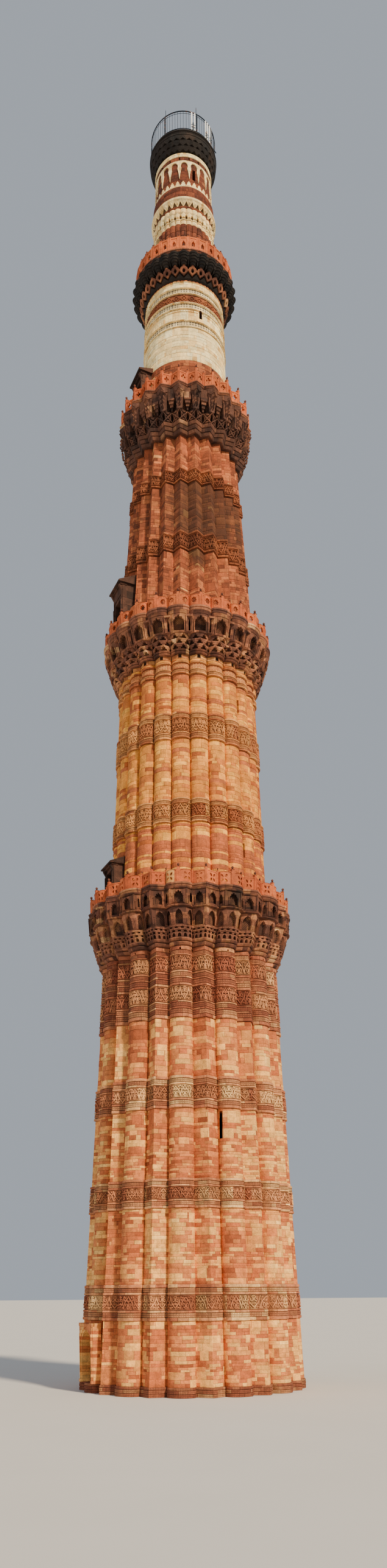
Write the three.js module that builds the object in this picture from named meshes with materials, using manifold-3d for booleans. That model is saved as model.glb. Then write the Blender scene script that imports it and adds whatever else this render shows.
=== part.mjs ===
// A tall fluted stone minaret of five tapering storeys with four corbelled balconies, at half its real size.
// Millimetres, +Z up. The origin is the middle of the base's underside. Azimuth 0 faces -Y and grows towards +X.
import * as THREE from 'three';
import { mergeVertices } from 'three/addons/utils/BufferGeometryUtils.js';
import Module from 'manifold-3d';

const wasm = await Module();
wasm.setup();

// Heights of the floors, walls and corbels, in order from the ground.
const PLINTH_TOP = 300;
const CORBEL_1 = 12925;
const ARCADE_1 = 13890;
const SLAB_1 = 14415;
const FLOOR_2 = 14540;
const CORBEL_2 = 21230;
const ARCADE_2 = 21675;
const SLAB_2 = 22190;
const FLOOR_3 = 22320;
const CORBEL_3 = 27550;
const BRACKETS_3 = 28020;
const SLAB_3 = 28615;
const FLOOR_4 = 28695;
const CORBEL_4 = 32035;
const SLAB_4 = 32530;
const FLOOR_5 = 32620;
const CORNICE_5 = 34220;
const RED_BAND_5 = 34480;
const ARCADE_5 = 34800;
const TOP_CORBEL = 35655;
const TOP_SLAB = 36150;
const TOP_FLOOR = 36240;
const TOP_RAIL = 36770;

const PLINTH_RADIUS = 3600;
const SLAB_RADIUS = [3100, 2525, 1975, 1465, 980];
const BORE_RADIUS = [1650, 1400, 1000, 775, 550];
const BORE_SIDES = 20;
const BAND_PROUD = 50;

// Parapets stand a little back from the slab's edge.
const PARAPET_THICKNESS = 70;
const PARAPET_INSET = 55;
const PARAPET_HEIGHT = [415, 315, 305, 340];
const POST_HEIGHT = [480, 430, 430, 420];
const POST_WIDTH = 90;

// All the balcony doors stand over one another at the left of the front.
const DOOR_AZIMUTH = -65.5;
const DOOR_WIDTH = 460;
const DOOR_HEIGHT = 1030;
const FRAME_WIDTH = 700;
const FRAME_PROUD = 200;
const FRAME_SEAT = 260;
const HOOD_OVERHANG = 130;
const HOOD_SIDE = 60;
const HOOD_LAP = 5;
const HOOD_LIP = 60;
// The frame's own opening is this much wider than the doorway behind it.
const FRAME_EASE = 3;
const SEAT_GAP = 0.5;

const COLOURS = {
  mixed: [0.62, 0.33, 0.22],
  buff: [0.74, 0.5, 0.29],
  red: [0.5, 0.2, 0.12],
  carved: [0.55, 0.3, 0.18],
  weathered: [0.2, 0.13, 0.09],
  parapet: [0.62, 0.3, 0.21],
  marble: [0.8, 0.7, 0.58],
  iron: [0.1, 0.09, 0.08],
};

// One flute from valley to valley, as [half turns from its crown, bulge] with bulge 1 at the crown.
const ROUND_FLUTE = [[-1, 0], [-0.71, 0.71], [0, 1], [0.71, 0.71]];
const BROAD_FLUTE = [[-1, 0], [-0.5, 1], [0.5, 1]];
const WEDGE_FLUTE = [[-1, 0], [0, 1]];
// A lobe with a niche sunk in its middle, and a bracket with a cleft on either side.
const NICHE_BAY = [[-1, 0], [-0.45, 0.9], [-0.4, -0.7], [0.4, -0.7], [0.45, 0.9]];
const BRACKET_BAY = [[-0.95, -0.5], [-0.6, 0.4], [0, 1], [0.6, 0.4]];

const radians = THREE.MathUtils.degToRad;

// A plan goes once round the tower as [azimuth, bulge] pairs.
function bayPlan(bays, count, firstCrown) {
  const pitch = 360 / count;
  const plan = [];
  for (let i = 0; i < count; i += 1) {
    for (const [turn, bulge] of bays[i % bays.length]) {
      plan.push([firstCrown + (i + turn / 2) * pitch, bulge]);
    }
  }
  return plan;
}

function roundPlan(sides, start = 0) {
  return Array.from({ length: sides }, (_, i) => [start + (i * 360) / sides, 1]);
}

const MIXED_PLAN = bayPlan([ROUND_FLUTE, WEDGE_FLUTE], 24, -5.5);
const ROUND_FLUTE_PLAN = bayPlan([BROAD_FLUTE], 24, -5.5);
const STAR_PLAN = bayPlan([WEDGE_FLUTE], 24, -5);
const COLUMN_PLAN = bayPlan([BROAD_FLUTE], 32, 0);
const NICHE_PLAN = bayPlan([NICHE_BAY], 24, -5.5);
const BRACKET_PLAN = bayPlan([BRACKET_BAY], 24, -5);
const DRUM_PLAN = roundPlan(40);

// Joins two rings of vertices with triangles, walking round both by azimuth.
function stitch(faces, lower, upper) {
  const turned = (ring, k) => ring[k % ring.length].azimuth + (k >= ring.length ? 360 : 0);
  let i = 0;
  let j = 0;
  while (i < lower.length || j < upper.length) {
    const a = lower[i % lower.length].id;
    const b = upper[j % upper.length].id;
    const takeLower = j >= upper.length || (i < lower.length && turned(lower, i + 1) <= turned(upper, j + 1));
    if (takeLower) {
      i += 1;
      faces.push(a, lower[i % lower.length].id, b);
    } else {
      j += 1;
      faces.push(a, upper[j % upper.length].id, b);
    }
  }
}

// A solid that goes round the axis: rings from bottom to top on the outside, then a bore or closed caps.
// A level is { z, radius, depth, plan } where depth is the flutes' depth as a share of the radius.
function turnedSolid(levels, bore = null) {
  const positions = [];
  const faces = [];
  const addPoint = (azimuth, radius, z) => {
    positions.push(radius * Math.sin(radians(azimuth)), -radius * Math.cos(radians(azimuth)), z);
    return { azimuth, id: positions.length / 3 - 1 };
  };
  const addRing = ({ z, radius, depth = 0, plan }) =>
    plan.map(([azimuth, bulge]) => addPoint(azimuth, radius * (1 - depth * (1 - bulge)), z));
  const outside = levels.map(addRing);
  for (let k = 1; k < outside.length; k += 1) stitch(faces, outside[k - 1], outside[k]);
  const bottom = outside[0];
  const top = outside.at(-1);
  if (bore) {
    const boreTop = addRing({ ...bore, z: levels.at(-1).z });
    const boreBottom = addRing({ ...bore, z: levels[0].z });
    stitch(faces, top, boreTop);
    stitch(faces, boreTop, boreBottom);
    stitch(faces, boreBottom, bottom);
  } else {
    const middleTop = addPoint(0, 0, levels.at(-1).z).id;
    const middleBottom = addPoint(0, 0, levels[0].z).id;
    top.forEach((point, i) => faces.push(point.id, top[(i + 1) % top.length].id, middleTop));
    bottom.forEach((point, i) => faces.push(bottom[(i + 1) % bottom.length].id, point.id, middleBottom));
  }
  const geometry = new THREE.BufferGeometry();
  geometry.setAttribute('position', new THREE.Float32BufferAttribute(positions, 3));
  geometry.setIndex(faces);
  return geometry;
}

function roundBore(storey, plan) {
  return { radius: BORE_RADIUS[storey], plan: roundPlan(BORE_SIDES, plan[0][0]) };
}

// Solids for joins and cuts.
function solidOf(geometry) {
  const bare = geometry.clone();
  bare.deleteAttribute('normal');
  bare.deleteAttribute('uv');
  const merged = mergeVertices(bare, 1e-3);
  return new wasm.Manifold(new wasm.Mesh({
    numProp: 3,
    vertProperties: new Float32Array(merged.attributes.position.array),
    triVerts: new Uint32Array(merged.index.array),
  }));
}

function geometryOf(solid) {
  const mesh = solid.getMesh();
  const geometry = new THREE.BufferGeometry();
  geometry.setAttribute('position', new THREE.Float32BufferAttribute(mesh.vertProperties, 3));
  geometry.setIndex(Array.from(mesh.triVerts));
  return geometry;
}

function outward(azimuth, distance) {
  return new THREE.Vector3(Math.sin(radians(azimuth)), -Math.cos(radians(azimuth)), 0).multiplyScalar(distance);
}

// Turns a shape's plane so that it faces out at an azimuth: x runs along the wall, y up and z outwards.
function facing(geometry, azimuth, radius, height) {
  const out = outward(azimuth, 1);
  const up = new THREE.Vector3(0, 0, 1);
  const along = new THREE.Vector3().crossVectors(up, out);
  const place = new THREE.Matrix4().makeBasis(along, up, out);
  place.setPosition(out.x * radius, out.y * radius, height);
  return geometry.applyMatrix4(place);
}

// The opening of a doorway or window, pointed at the top where rise is not 0.
function openingCutter(azimuth, width, height, rise, sill, inside, outside) {
  const shape = new THREE.Shape();
  shape.moveTo(-width / 2, 0);
  shape.lineTo(width / 2, 0);
  shape.lineTo(width / 2, height - rise);
  if (rise > 0) {
    shape.quadraticCurveTo(width / 2, height - rise / 3, 0, height);
    shape.quadraticCurveTo(-width / 2, height - rise / 3, -width / 2, height - rise);
  } else {
    shape.lineTo(-width / 2, height);
  }
  const block = new THREE.ExtrudeGeometry(shape, { depth: outside - inside, bevelEnabled: false, curveSegments: 4 });
  return solidOf(facing(block, azimuth, inside, sill));
}

// A straight slot through the wall, cut along Y beside the axis.
function slotCutter(x, near, far, width, sill, height) {
  const slot = new THREE.BoxGeometry(width, far - near, height);
  slot.translate(x, (near + far) / 2, sill + height / 2);
  return solidOf(slot);
}

const tower = new THREE.Group();
tower.name = 'minaret';

function addPiece(name, geometry, colour, roughness = 0.9, metalness = 0) {
  const shade = new THREE.Color(...COLOURS[colour]);
  const material = new THREE.MeshStandardMaterial({ color: shade, roughness, metalness });
  const mesh = new THREE.Mesh(geometry, material);
  mesh.name = name;
  tower.add(mesh);
}

// Door and window cuts, by the name of the course that they go through.
const DOORS = {
  storey_1_wall_1: { width: 900, height: 1620, rise: 420, sill: PLINTH_TOP, storey: 0, reach: 3900 },
  storey_2_wall_1: { width: DOOR_WIDTH, height: DOOR_HEIGHT, rise: 0, sill: FLOOR_2, storey: 1, reach: 2900 },
  storey_3_door_wall: {
    width: DOOR_WIDTH, height: DOOR_HEIGHT, rise: 0, sill: FLOOR_3, storey: 2, reach: 2500, openTop: 10,
  },
  storey_4_wall_1: { width: DOOR_WIDTH, height: DOOR_HEIGHT - 80, rise: 0, sill: FLOOR_4, storey: 3, reach: 1900 },
  storey_5_columns: { width: 440, height: 1250, rise: 260, sill: FLOOR_5, storey: 4, reach: 1200 },
};
const SLIT_WIDTH = 90;
const LOW_SLIT = { x: 880, near: 900, far: 3400, sill: 7450, height: 800 };
const SLITS = {
  storey_2_wall_1: { azimuths: [47, -133], sill: 15800, height: 410, storey: 1, reach: 2700 },
  storey_2_wall_3: { azimuths: [47, -133], sill: 19960, height: 380, storey: 1, reach: 2500 },
  storey_4_lattice_band: { azimuths: [24, -156], sill: 31050, height: 230, storey: 3, reach: 1500 },
  storey_5_arcade: { azimuths: [22.5, -157.5], sill: 35075, height: 275, storey: 4, reach: 1000 },
};

// Where the course ends at the door's head, the cut runs out of its top and the course above is the lintel.
function doorCutter(door, ease = 0, openTop = 0) {
  const inside = BORE_RADIUS[door.storey] * 0.6;
  const width = door.width + 2 * ease;
  const height = door.height + 2 * ease + openTop;
  return openingCutter(DOOR_AZIMUTH, width, height, door.rise, door.sill - ease, inside, door.reach);
}

function withOpenings(name, geometry) {
  const cutters = [];
  if (DOORS[name]) cutters.push(doorCutter(DOORS[name], 0, DOORS[name].openTop));
  if (name === 'storey_1_wall_3') {
    const { x, near, far, sill, height } = LOW_SLIT;
    cutters.push(slotCutter(x, -far, -near, SLIT_WIDTH, sill, height));
    cutters.push(slotCutter(-x, near, far, SLIT_WIDTH, sill, height));
  }
  if (SLITS[name]) {
    const { azimuths, sill, height, storey, reach } = SLITS[name];
    const inside = BORE_RADIUS[storey] * 0.8;
    for (const azimuth of azimuths) {
      cutters.push(openingCutter(azimuth, SLIT_WIDTH, height, 0, sill, inside, reach));
    }
  }
  if (cutters.length === 0) return geometry;
  let solid = solidOf(geometry);
  for (const cutter of cutters) solid = solid.subtract(cutter);
  return geometryOf(solid);
}

// The plinth carries the ground floor and follows the flutes above it.
addPiece('plinth', turnedSolid([
  { z: 0, radius: PLINTH_RADIUS, depth: 0.09, plan: MIXED_PLAN },
  { z: PLINTH_TOP, radius: PLINTH_RADIUS, depth: 0.09, plan: MIXED_PLAN },
]), 'mixed');

// Walls and carved bands, each course a ring of masonry that tapers with the storey.
const STOREYS = [
  {
    name: 'storey_1', floor: PLINTH_TOP, top: CORBEL_1, baseRadius: 3550, topRadius: 2640,
    plan: MIXED_PLAN, depth: 0.1, wall: 'mixed',
    courses: [
      ['wall_1', 2200], ['band_1', 3265], ['wall_2', 5450], ['band_2', 6310],
      ['wall_3', 8310], ['band_3', 9235], ['wall_4', 10890], ['band_4', CORBEL_1],
    ],
  },
  {
    name: 'storey_2', floor: FLOOR_2, top: CORBEL_2, baseRadius: 2405, topRadius: 2035,
    plan: ROUND_FLUTE_PLAN, depth: 0.08, wall: 'buff',
    courses: [
      ['wall_1', 16515], ['band_1', 17185], ['wall_2', 18880], ['band_2', 19620],
      ['wall_3', 20700], ['frieze', CORBEL_2],
    ],
  },
  {
    name: 'storey_3', floor: FLOOR_3, top: CORBEL_3, baseRadius: 2035, topRadius: 1550,
    plan: STAR_PLAN, depth: 0.1, wall: 'red',
    courses: [
      ['door_wall', FLOOR_3 + DOOR_HEIGHT], ['wall_1', 24260], ['band_1', 24770], ['wall_2', 26225],
      ['band_2', 26585], ['wall_3', CORBEL_3],
    ],
  },
  {
    name: 'storey_4', floor: FLOOR_4, top: CORBEL_4, baseRadius: 1300, topRadius: 1130,
    plan: DRUM_PLAN, depth: 0, wall: 'marble',
    courses: [['wall_1', 30735], ['lattice_band', 31830], ['wall_2', CORBEL_4]],
  },
];

const wallSolids = {};
STOREYS.forEach((storey, index) => {
  const taper = (storey.topRadius - storey.baseRadius) / (storey.top - storey.floor);
  let z = storey.floor;
  for (const [course, top] of storey.courses) {
    const name = `${storey.name}_${course}`;
    const plain = course.includes('wall');
    const proud = plain || storey.name === 'storey_4' ? 0 : BAND_PROUD;
    const levels = [z, top].map((level) => ({
      z: level,
      radius: storey.baseRadius + taper * (level - storey.floor) + proud,
      depth: storey.depth,
      plan: storey.plan,
    }));
    const ring = turnedSolid(levels, roundBore(index, storey.plan));
    const cut = withOpenings(name, ring);
    if (plain) wallSolids[name] = solidOf(cut);
    addPiece(name, cut, plain ? storey.wall : 'carved');
    z = top;
  }
});

// The fifth storey: small half columns, a toothed cornice, a plain band and an arcaded drum.
const COLUMN_RADIUS = 880;
const ARCADE_RADIUS = 825;
const columnDrum = turnedSolid([
  { z: FLOOR_5, radius: COLUMN_RADIUS, depth: 0.05, plan: COLUMN_PLAN },
  { z: CORNICE_5 - 120, radius: COLUMN_RADIUS - 20, depth: 0.05, plan: COLUMN_PLAN },
  { z: CORNICE_5, radius: COLUMN_RADIUS, depth: 0, plan: COLUMN_PLAN },
], roundBore(4, COLUMN_PLAN));
const cutColumnDrum = withOpenings('storey_5_columns', columnDrum);
addPiece('storey_5_columns', cutColumnDrum, 'red');
addPiece('storey_5_cornice', turnedSolid([
  { z: CORNICE_5, radius: COLUMN_RADIUS - 30, plan: DRUM_PLAN },
  { z: CORNICE_5 + 90, radius: COLUMN_RADIUS - 25, plan: DRUM_PLAN },
  { z: RED_BAND_5 - 60, radius: COLUMN_RADIUS + 55, plan: DRUM_PLAN },
  { z: RED_BAND_5, radius: COLUMN_RADIUS + 60, plan: DRUM_PLAN },
], roundBore(4, DRUM_PLAN)), 'marble');
addPiece('storey_5_red_band', turnedSolid([
  { z: RED_BAND_5, radius: COLUMN_RADIUS + 15, plan: DRUM_PLAN },
  { z: ARCADE_5, radius: COLUMN_RADIUS + 5, plan: DRUM_PLAN },
], roundBore(4, DRUM_PLAN)), 'red');
addPiece('storey_5_arcade', withOpenings('storey_5_arcade', turnedSolid([
  { z: ARCADE_5, radius: ARCADE_RADIUS + 10, plan: DRUM_PLAN },
  { z: TOP_CORBEL, radius: ARCADE_RADIUS - 20, plan: DRUM_PLAN },
], roundBore(4, DRUM_PLAN))), 'marble');

// A corbel grows from the wall below it to the slab that it carries, in steps of [height, radius].
function addCorbel(name, storey, plan, depth, steps) {
  const levels = steps.map(([z, radius]) => ({ z, radius, depth, plan }));
  addPiece(name, turnedSolid(levels, roundBore(storey, plan)), 'weathered');
}

addCorbel('balcony_1_corbel', 0, MIXED_PLAN, 0.08, [
  [CORBEL_1, 2700], [13110, 2800], [13420, 2890], [ARCADE_1, 3030],
]);
addCorbel('balcony_1_arcade', 0, NICHE_PLAN, 0.06, [[ARCADE_1, 3050], [SLAB_1, 3080]]);
addCorbel('balcony_2_corbel', 1, ROUND_FLUTE_PLAN, 0.07, [
  [CORBEL_2, 2110], [21400, 2210], [ARCADE_2, 2290],
]);
addCorbel('balcony_2_arcade', 1, NICHE_PLAN, 0.06, [[ARCADE_2, 2320], [SLAB_2, 2500]]);
addCorbel('balcony_3_corbel', 2, STAR_PLAN, 0.08, [[CORBEL_3, 1640], [BRACKETS_3, 1850]]);
addCorbel('balcony_3_brackets', 2, BRACKET_PLAN, 0.09, [[BRACKETS_3, 1830], [SLAB_3, 1960]]);
addCorbel('balcony_4_corbel', 3, DRUM_PLAN, 0, [
  [CORBEL_4, 1170], [32240, 1290], [32400, 1400], [SLAB_4, 1455],
]);
addCorbel('top_corbel', 4, DRUM_PLAN, 0, [
  [TOP_CORBEL, 805], [35765, 810], [36000, 940], [TOP_SLAB, 970],
]);

// A slab is the balcony outside the wall and the floor inside it.
function addSlab(name, bottom, top, radius, plan, depth) {
  const levels = [bottom, top].map((z) => ({ z, radius, depth, plan }));
  addPiece(name, turnedSolid(levels), 'weathered');
}

addSlab('balcony_1_slab', SLAB_1, FLOOR_2, SLAB_RADIUS[0], MIXED_PLAN, 0.06);
addSlab('balcony_2_slab', SLAB_2, FLOOR_3, SLAB_RADIUS[1], ROUND_FLUTE_PLAN, 0.05);
addSlab('balcony_3_slab', SLAB_3, FLOOR_4, SLAB_RADIUS[2], STAR_PLAN, 0.07);
addSlab('balcony_4_slab', SLAB_4, FLOOR_5, SLAB_RADIUS[3], DRUM_PLAN, 0);
addSlab('top_slab', TOP_SLAB, TOP_FLOOR, SLAB_RADIUS[4], DRUM_PLAN, 0);

// A parapet: a thin wall along the slab's edge with a square post at each crown.
function addParapet(index, floor, plan, depth, posts, firstPost) {
  const outer = SLAB_RADIUS[index] - PARAPET_INSET;
  const levels = [floor, floor + PARAPET_HEIGHT[index]].map((z) => ({ z, radius: outer, depth, plan }));
  const inner = { radius: outer - PARAPET_THICKNESS, depth, plan };
  let parapet = solidOf(turnedSolid(levels, inner));
  for (let i = 0; i < posts; i += 1) {
    const azimuth = firstPost + (i * 360) / posts;
    const post = new THREE.BoxGeometry(POST_WIDTH, POST_HEIGHT[index], POST_WIDTH + 20);
    const middle = outer - PARAPET_THICKNESS / 2;
    parapet = parapet.add(solidOf(facing(post, azimuth, middle, floor + POST_HEIGHT[index] / 2)));
  }
  addPiece(`balcony_${index + 1}_parapet`, geometryOf(parapet), 'parapet');
}

addParapet(0, FLOOR_2, MIXED_PLAN, 0.06, 24, -5.5);
addParapet(1, FLOOR_3, ROUND_FLUTE_PLAN, 0.05, 24, -5.5);
addParapet(2, FLOOR_4, STAR_PLAN, 0.07, 24, -5);
addParapet(3, FLOOR_5, DRUM_PLAN, 0, 16, 0);

// A door's stone frame stands on the floor, and a hood slopes out and down over it.
function addDoorFrame(name, courses, { crown, proud, width, height, hoodTop = 0 }) {
  const door = DOORS[courses[0]];
  const seat = crown - FRAME_SEAT;
  const depth = FRAME_SEAT + proud;
  const block = new THREE.BoxGeometry(width, height, depth);
  let frame = solidOf(facing(block, DOOR_AZIMUTH, seat + depth / 2, door.sill + height / 2));
  if (hoodTop > height) {
    const reach = depth + HOOD_OVERHANG;
    const slope = new THREE.Shape([
      new THREE.Vector2(0, height - HOOD_LAP), new THREE.Vector2(reach, height - HOOD_LAP),
      new THREE.Vector2(reach, height + HOOD_LIP), new THREE.Vector2(0, hoodTop),
    ]);
    const hoodWidth = width + 2 * HOOD_SIDE;
    const hood = new THREE.ExtrudeGeometry(slope, { depth: hoodWidth, bevelEnabled: false });
    hood.rotateY(-Math.PI / 2);
    hood.translate(hoodWidth / 2, 0, 0);
    frame = frame.add(solidOf(facing(hood, DOOR_AZIMUTH, seat, door.sill)));
  }
  frame = frame.subtract(doorCutter(door, FRAME_EASE));
  for (const course of courses) frame = frame.subtract(wallSolids[course]);
  addPiece(name, geometryOf(frame.translate(outward(DOOR_AZIMUTH, SEAT_GAP).toArray())), 'carved');
}

addDoorFrame('entrance_frame', ['storey_1_wall_1'], { crown: 3530, proud: 60, width: 1300, height: 1850 });
addDoorFrame('balcony_1_door_frame', ['storey_2_wall_1'], {
  crown: 2390, proud: FRAME_PROUD, width: FRAME_WIDTH, height: 1180, hoodTop: 1450,
});
addDoorFrame('balcony_2_door_frame', ['storey_3_door_wall', 'storey_3_wall_1'], {
  crown: 2010, proud: FRAME_PROUD, width: FRAME_WIDTH, height: 1400, hoodTop: 1700,
});
addDoorFrame('balcony_3_door_frame', ['storey_4_wall_1'], {
  crown: 1290, proud: FRAME_PROUD, width: FRAME_WIDTH - 60, height: 1080, hoodTop: 1250,
});

// The iron railing of the top floor: a round rail, a toe ring and six posts with thin bars between.
const RAIL_RADIUS = 925;
const RAIL_SIZE = 26;
const RAIL_POSTS = 6;
const BAR_COUNT = 18;
const railRing = (z, size) => solidOf(turnedSolid(
  [z - size / 2, z + size / 2].map((height) => ({ z: height, radius: RAIL_RADIUS + size / 2, plan: DRUM_PLAN })),
  { radius: RAIL_RADIUS - size / 2, plan: DRUM_PLAN },
));
let railing = railRing(TOP_RAIL - RAIL_SIZE / 2, RAIL_SIZE).add(railRing(TOP_FLOOR + 60, RAIL_SIZE * 0.7));
for (let i = 0; i < BAR_COUNT; i += 1) {
  const azimuth = -34 + (i * 360) / BAR_COUNT;
  const isPost = i % (BAR_COUNT / RAIL_POSTS) === 0;
  const size = isPost ? 40 : 12;
  const foot = isPost ? TOP_FLOOR : TOP_FLOOR + 60;
  const bar = new THREE.BoxGeometry(size, TOP_RAIL - 8 - foot, size);
  railing = railing.add(solidOf(facing(bar, azimuth, RAIL_RADIUS, (TOP_RAIL - 8 + foot) / 2)));
}
addPiece('top_railing', geometryOf(railing), 'iron', 0.5, 0.8);

// Two thin lightning rods stand on the top floor beside the railing.
const ROD_TOP = 37000;
const ROD_RADIUS = 12;
for (const [number, azimuth] of [[1, -34], [2, 26]]) {
  const rod = new THREE.CylinderGeometry(ROD_RADIUS, ROD_RADIUS, ROD_TOP - TOP_FLOOR, 8);
  facing(rod, azimuth, RAIL_RADIUS - 50, (ROD_TOP + TOP_FLOOR) / 2);
  addPiece(`lightning_rod_${number}`, rod, 'iron', 0.5, 0.8);
}

export default tower;
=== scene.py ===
import bisect
import math
import random

import bmesh
import bpy
from bmesh.types import BMEdge, BMFace, BMVert
from mathutils import Matrix, Vector


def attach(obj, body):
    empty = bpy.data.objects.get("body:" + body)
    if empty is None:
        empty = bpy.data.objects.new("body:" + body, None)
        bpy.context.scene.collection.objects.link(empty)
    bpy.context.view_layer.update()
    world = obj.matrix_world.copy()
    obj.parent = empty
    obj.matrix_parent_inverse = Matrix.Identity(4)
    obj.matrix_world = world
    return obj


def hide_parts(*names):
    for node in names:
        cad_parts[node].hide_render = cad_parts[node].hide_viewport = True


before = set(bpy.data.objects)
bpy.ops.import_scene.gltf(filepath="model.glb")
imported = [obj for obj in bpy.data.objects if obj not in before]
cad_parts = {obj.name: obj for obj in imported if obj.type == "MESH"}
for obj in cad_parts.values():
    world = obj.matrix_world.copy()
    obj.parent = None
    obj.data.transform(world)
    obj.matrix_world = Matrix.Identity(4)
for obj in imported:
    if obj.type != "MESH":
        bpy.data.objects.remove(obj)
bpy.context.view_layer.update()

# The view: the eye stands far back on the -Y side, a little above the ground, and looks level. The lens
# is slid up in its frame, so the whole tower shows and its upright lines stay nearly upright.
EYE_DISTANCE = 33.5
EYE_HEIGHT = 3.05
LOOK_DOWN = math.radians(4.0)
ROLL = math.radians(-0.444)

camera_data = bpy.data.cameras.new("tower_camera")
camera_data.lens = 24.18
camera_data.shift_x = 0.0007
camera_data.shift_y = 0.3707
camera_data.clip_end = 900
camera = bpy.data.objects.new("tower_camera", camera_data)
eye = Matrix.Translation((0, -EYE_DISTANCE, EYE_HEIGHT))
camera.matrix_world = eye @ Matrix.Rotation(math.pi / 2 - LOOK_DOWN, 4, "X") @ Matrix.Rotation(ROLL, 4, "Z")
bpy.context.collection.objects.link(camera)
bpy.context.scene.camera = camera


# The light: one broad warm lamp high on the right of the front, and a weak one low on the left. A pale
# sky fills the shadows evenly.
def add_sun(name, azimuth, height, strength, colour, softness):
    lamp = bpy.data.lights.new(name, "SUN")
    lamp.energy = strength
    lamp.color = colour
    lamp.angle = math.radians(softness)
    sun = bpy.data.objects.new(name, lamp)
    sun.rotation_euler = (math.radians(90 - height), 0, math.radians(azimuth))
    bpy.context.collection.objects.link(sun)


add_sun("key_light", 36, 38, 5.3, (1.0, 0.83, 0.6), 6)
add_sun("fill_light", -65, 15, 0.5, (1.0, 0.9, 0.8), 40)
sky = bpy.data.worlds.new("pale_sky")
sky.use_nodes = True
sky.node_tree.nodes["Background"].inputs["Color"].default_value = (0.6, 0.66, 0.74, 1)
sky.node_tree.nodes["Background"].inputs["Strength"].default_value = 0.65
bpy.context.scene.world = sky


# The floor is plain and pale and isn't part of the tower. A Wire is a socket that can be summed like a
# number, and a Finish is one material with the nodes that feed it.
class Wire:
    def __init__(self, socket):
        self.socket = socket

    def maths(self, operation, *values):
        node = self.socket.id_data.nodes.new("ShaderNodeMath")
        node.operation = operation
        for entry, value in zip(node.inputs, values):
            feed(entry, value)
        return Wire(node.outputs[0])

    def __add__(self, other):
        return self.maths("ADD", self, other)

    def __radd__(self, other):
        return self.maths("ADD", other, self)

    def __sub__(self, other):
        return self.maths("SUBTRACT", self, other)

    def __rsub__(self, other):
        return self.maths("SUBTRACT", other, self)

    def __mul__(self, other):
        return self.maths("MULTIPLY", self, other)

    def __rmul__(self, other):
        return self.maths("MULTIPLY", other, self)

    def __truediv__(self, other):
        return self.maths("DIVIDE", self, other)

    def __gt__(self, other):
        return self.maths("GREATER_THAN", self, other)

    def __lt__(self, other):
        return self.maths("LESS_THAN", self, other)

    def __abs__(self):
        return self.maths("ABSOLUTE", self)

    def floor(self):
        return self.maths("FLOOR", self)

    def fraction(self):
        return self.maths("FRACT", self)


def feed(entry, value):
    if isinstance(value, Wire):
        entry.id_data.links.new(value.socket, entry)
    else:
        entry.default_value = value


class Finish:
    def __init__(self, name, roughness=0.88, metallic=0.0):
        self.material = bpy.data.materials.new(name)
        self.material.use_nodes = True
        self.tree = self.material.node_tree
        self.shader = self.tree.nodes["Principled BSDF"]
        self.shader.inputs["Roughness"].default_value = roughness
        self.shader.inputs["Metallic"].default_value = metallic
        self.shader.inputs["Specular IOR Level"].default_value = 0.25

    def add(self, kind, settings, inputs, out=0):
        node = self.tree.nodes.new("ShaderNode" + kind)
        for key, value in settings.items():
            if key == "stops":
                while len(node.color_ramp.elements) < len(value):
                    node.color_ramp.elements.new(1.0)
                for stop, (position, colour) in zip(node.color_ramp.elements, value):
                    stop.position = position
                    stop.color = (*colour, 1)
            elif key == "steps":
                node.color_ramp.interpolation = value
            else:
                setattr(node, key, value)
        for key, value in inputs.items():
            feed(node.inputs[key], value)
        return Wire(node.outputs[out])

    def mix(self, share, low, high, blend="MIX"):
        return self.add("Mix", {"data_type": "RGBA", "blend_type": blend}, {0: share, 6: low, 7: high}, 2)

    def object_place(self):
        return self.add("TexCoord", {}, {}, "Object")

    def axis(self, place, number):
        return self.add("SeparateXYZ", {}, {0: place}, number)

    def noise(self, scale, detail=3.0, stretch=None):
        place = self.object_place()
        if stretch:
            place = self.add("Mapping", {}, {"Vector": place, "Scale": stretch})
        return self.add("TexNoise", {}, {"Vector": place, "Scale": scale, "Detail": detail}, "Fac")

    def chance(self, x, y, z=0.0):
        spot = self.add("CombineXYZ", {}, {0: x, 1: y, 2: z})
        return self.add("TexWhiteNoise", {}, {"Vector": spot}, "Value")

    def ramp(self, value, *stops, steps="LINEAR"):
        return self.add("ValToRGB", {"stops": stops, "steps": steps}, {"Fac": value}, "Color")

    def rise(self, value, low, high):
        return self.add("MapRange", {}, {"Value": value, "From Min": low, "From Max": high})

    def paint(self, colour):
        feed(self.shader.inputs["Base Color"], colour)

    def bump(self, height, distance):
        feed(self.shader.inputs["Normal"], self.add("Bump", {}, {"Height": height, "Distance": distance}))


floor_mesh = bmesh.new()
bmesh.ops.create_grid(floor_mesh, x_segments=1, y_segments=1, size=400)
floor_data = bpy.data.meshes.new("floor")
floor_mesh.to_mesh(floor_data)
floor_mesh.free()
floor_finish = Finish("pale_floor", roughness=0.95)
floor_finish.paint(floor_finish.mix(floor_finish.noise(0.4), (0.6, 0.58, 0.55, 1), (0.64, 0.62, 0.59, 1)))
floor_data.materials.append(floor_finish.material)
floor = bpy.data.objects.new("floor", floor_data)
bpy.context.collection.objects.link(floor)


# Storey 1, walls: the great shaft of red, pink and buff sandstone. Twelve round and twelve
# angular flutes take turns, and the blocks are cut to the flutes and laid dry in level courses.
def spot(azimuth, radius, z):
    turn = math.radians(azimuth)
    return Vector((radius * math.sin(turn), -radius * math.cos(turn), z))


def step_of(marks, value):
    """The number of the step, between two of the rising marks, that a value lies on."""
    return min(max(bisect.bisect_right(marks, value) - 1, 0), len(marks) - 2)


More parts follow.
